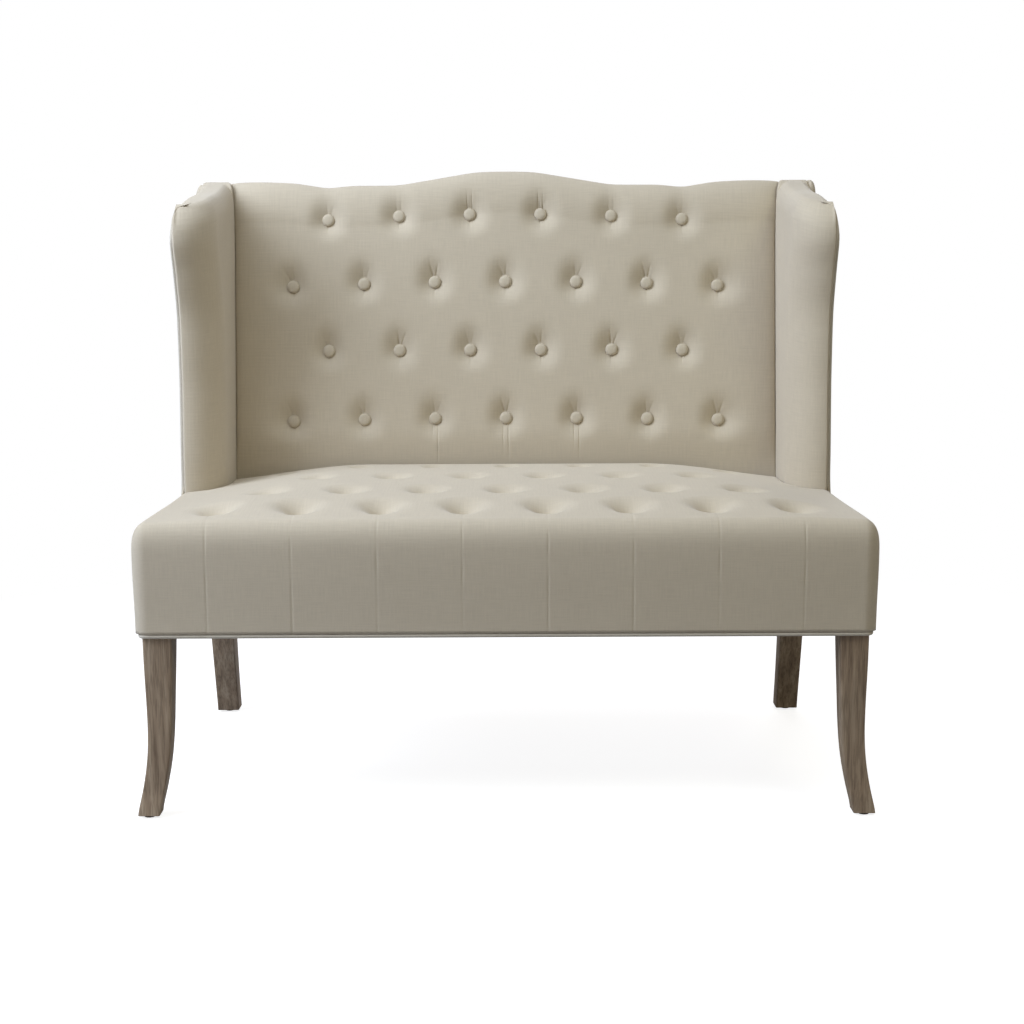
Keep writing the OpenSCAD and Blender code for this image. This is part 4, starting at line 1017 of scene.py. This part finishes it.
# covered buttons: the profile's radii and heights, and how far they stand out of their pits
BUTTON_PROFILE = [(0, 0.0046), (0.0030, 0.00455), (0.0066, 0.0042), (0.0094, 0.0034), (0.0110, 0.0019),
                  (0.0118, 0.0002), (0.0119, -0.0012), (0.0112, -0.0030), (0.0080, -0.0040), (0, -0.0042)]
BACK_BUTTON_OUT, SEAT_BUTTON_OUT = 0.0026, 0.0010


def spun_button(bm, centre, normal, layer):
    """One covered button; the tags of its points tell it from the ones made before."""
    turn = Vector(normal).to_track_quat("Z", "X").to_matrix().to_4x4()
    verts = [bm.verts.new((r, 0, h)) for r, h in BUTTON_PROFILE]
    edges = [bm.edges.new(pair) for pair in zip(verts, verts[1:])]
    bmesh.ops.spin(bm, geom=verts + edges, cent=(0, 0, 0), axis=(0, 0, 1), angle=2 * math.pi, steps=20,
                   use_merge=True)
    bmesh.ops.remove_doubles(bm, verts=[v for v in bm.verts if not v.tag], dist=0.00005)
    made = [v for v in bm.verts if not v.tag]
    for face in {f for v in made for f in v.link_faces}:
        for loop in face.loops:
            loop[layer].uv = (loop.vert.co.x + centre[0], loop.vert.co.y + centre[2])
    bmesh.ops.transform(bm, matrix=Matrix.Translation(centre) @ turn, verts=made)
    for v in made:
        v.tag = True


def buttons(name, places, node):
    bm = bmesh.new()
    layer = bm.loops.layers.uv.new("cloth")
    for centre, normal in places:
        spun_button(bm, centre, normal, layer)
    bmesh.ops.recalc_face_normals(bm, faces=bm.faces)
    settle(finish_mesh(name, bm, BUTTON_LINEN), (node,))


def seat_button_h(x, y, row):
    rise = float(seat_rise(np.array(x), np.array(y)))
    return SEAT_EDGE_H + rise - SEAT_DEPTH[row] + SEAT_BUTTON_OUT


out_of_back, out_of_seat = Vector((0, -1, FACE_LEAN)).normalized(), Vector((0, 0, 1))
buttons("back_buttons_covered",
        [(Vector((x, face_at(z) + BACK_TUFT, z)) + out_of_back * BACK_BUTTON_OUT, out_of_back)
         for x, z, row in BACK_SPOTS], "back_buttons")
buttons("seat_buttons_covered",
        [(Vector((x, y, seat_button_h(x, y, row))), out_of_seat) for x, y, row in SEAT_SPOTS],
        "seat_buttons")

# dust cloth under the seat, pulled tight and let in round the legs
DUST_IN, DUST_T = 0.004, 0.0006
CUT_X, CUT_FRONT_Y, CUT_REAR_Y = 0.5427, -0.2945, 0.2507


def dust_cloth():
    x, y0, y1 = FRAME_X - DUST_IN, RAIL_FRONT_Y + DUST_IN, REAR_Y - DUST_IN
    xs = steps(-x, 12, -CUT_X, 60, CUT_X, 12, x)
    ys = steps(y0, 12, CUT_FRONT_Y, 40, CUT_REAR_Y, 10, y1)
    bm = cloth_grid(xs, ys, lambda u, v: np.stack([u, v, np.full_like(u, LEG_H - DUST_T)], 1),
                    lambda u, v: np.stack([u, v], 1))
    middles = [(f, f.calc_center_median()) for f in bm.faces]
    corners = [f for f, at in middles if abs(at.x) > CUT_X and not CUT_FRONT_Y < at.y < CUT_REAR_Y]
    bmesh.ops.delete(bm, geom=corners, context="FACES")
    for vert in bm.verts:
        vert.co.z += 0.0002 * math.sin(vert.co.x * 37) * math.sin(vert.co.y * 29)
    obj = finish_mesh("dust_cloth", bm, CAMBRIC)
    wall = obj.modifiers.new("cloth", "SOLIDIFY")
    wall.thickness, wall.offset = DUST_T, 0.0
    settle(obj, ("dust_cover",))


dust_cloth()

# floor: a matte white that glows more with distance, from GLOW_NEAR to all of it
FLOOR_SIZE, GLOW_NEAR, GLOW_RANGE = 14, 0.84, 4.0


def lay_floor():
    mat, tree, shader = new_material("pale_floor")
    shader.inputs["Base Color"].default_value = (0.40, 0.40, 0.40, 1)
    shader.inputs["Roughness"].default_value = 0.9
    bright = add(tree, "ShaderNodeBsdfDiffuse")
    bright.inputs["Color"].default_value = (3.4, 3.4, 3.4, 1)
    white = add(tree, "ShaderNodeEmission")
    apart = add(tree, "ShaderNodeVectorMath", operation="LENGTH")
    tree.links.new(object_place(tree), apart.inputs[0])
    far = maths(tree, "MULTIPLY", apart.outputs["Value"], 1 / GLOW_RANGE)
    glow = ramp(tree, far, [(0.20, (GLOW_NEAR,) * 3), (0.50, (1.0,) * 3)])
    faint = mixed(tree, glow, bright.outputs["BSDF"], white.outputs["Emission"])
    # what the camera sees is bright, and what lights the settee from below is a plain grey
    seen = add(tree, "ShaderNodeLightPath").outputs["Is Camera Ray"]
    surface = mixed(tree, seen, shader.outputs["BSDF"], faint)
    tree.links.new(surface, tree.nodes["Material Output"].inputs["Surface"])
    bm = bmesh.new()
    bmesh.ops.create_grid(bm, x_segments=1, y_segments=1, size=FLOOR_SIZE)
    finish_mesh("floor", bm, mat)


# the room's warm light, and white where the camera, gloss or glass look at it
ROOM_COLOUR, ROOM_STRENGTH = (1.0, 0.72, 0.52, 1), 0.13


def light_room():
    world = bpy.data.worlds.new("room")
    bpy.context.scene.world = world
    world.use_nodes = True
    tree = world.node_tree
    light = tree.nodes["Background"]
    light.inputs["Color"].default_value = ROOM_COLOUR
    light.inputs["Strength"].default_value = ROOM_STRENGTH
    white = add(tree, "ShaderNodeBackground")
    white.inputs["Color"].default_value = (1, 1, 1, 1)
    path = add(tree, "ShaderNodeLightPath")
    either = maths(tree, "MAXIMUM", path.outputs["Is Camera Ray"], path.outputs["Is Glossy Ray"])
    either = maths(tree, "MAXIMUM", either, path.outputs["Is Transmission Ray"])
    both = mixed(tree, either, light.outputs["Background"], white.outputs["Background"])
    tree.links.new(both, tree.nodes["World Output"].inputs["Surface"])


# lamps: name, place, what it points at, size, power and colour
LAMPS = [
    ("key", (-2.5, -1.02, 2.2), (0, 0, 0.7), 1.7, 69, (0.90, 1.0, 1.17)),
    ("high_key", (-1.5, -1.1, 2.7), (0, 0, 0.7), 1.2, 19, (0.90, 1.0, 1.15)),
    ("top", (0.0, -0.3, 3.2), (0, 0, 0.6), 2.2, 21, (0.90, 1.0, 1.17)),
    ("fill", (1.4, -1.7, 2.5), (0, 0, 0.7), 1.0, 13, (1.0, 1.03, 0.78)),
    ("rear", (0.5, 2.8, 1.4), (0, 0.3, 0.6), 2.0, 38, (0.95, 1.0, 1.08)),
]


def hang_lamp(name, place, aim, size, power, colour):
    data = bpy.data.lights.new(name, "AREA")
    data.size, data.energy, data.color = size, power, colour
    lamp = bpy.data.objects.new(name, data)
    lamp.location = place
    lamp.rotation_euler = (Vector(aim) - Vector(place)).to_track_quat("-Z", "Y").to_euler()
    lamp.visible_camera = False
    bpy.context.scene.collection.objects.link(lamp)


lay_floor()
light_room()
for lamp_row in LAMPS:
    hang_lamp(*lamp_row)
bpy.context.scene.view_settings.view_transform = "Standard"
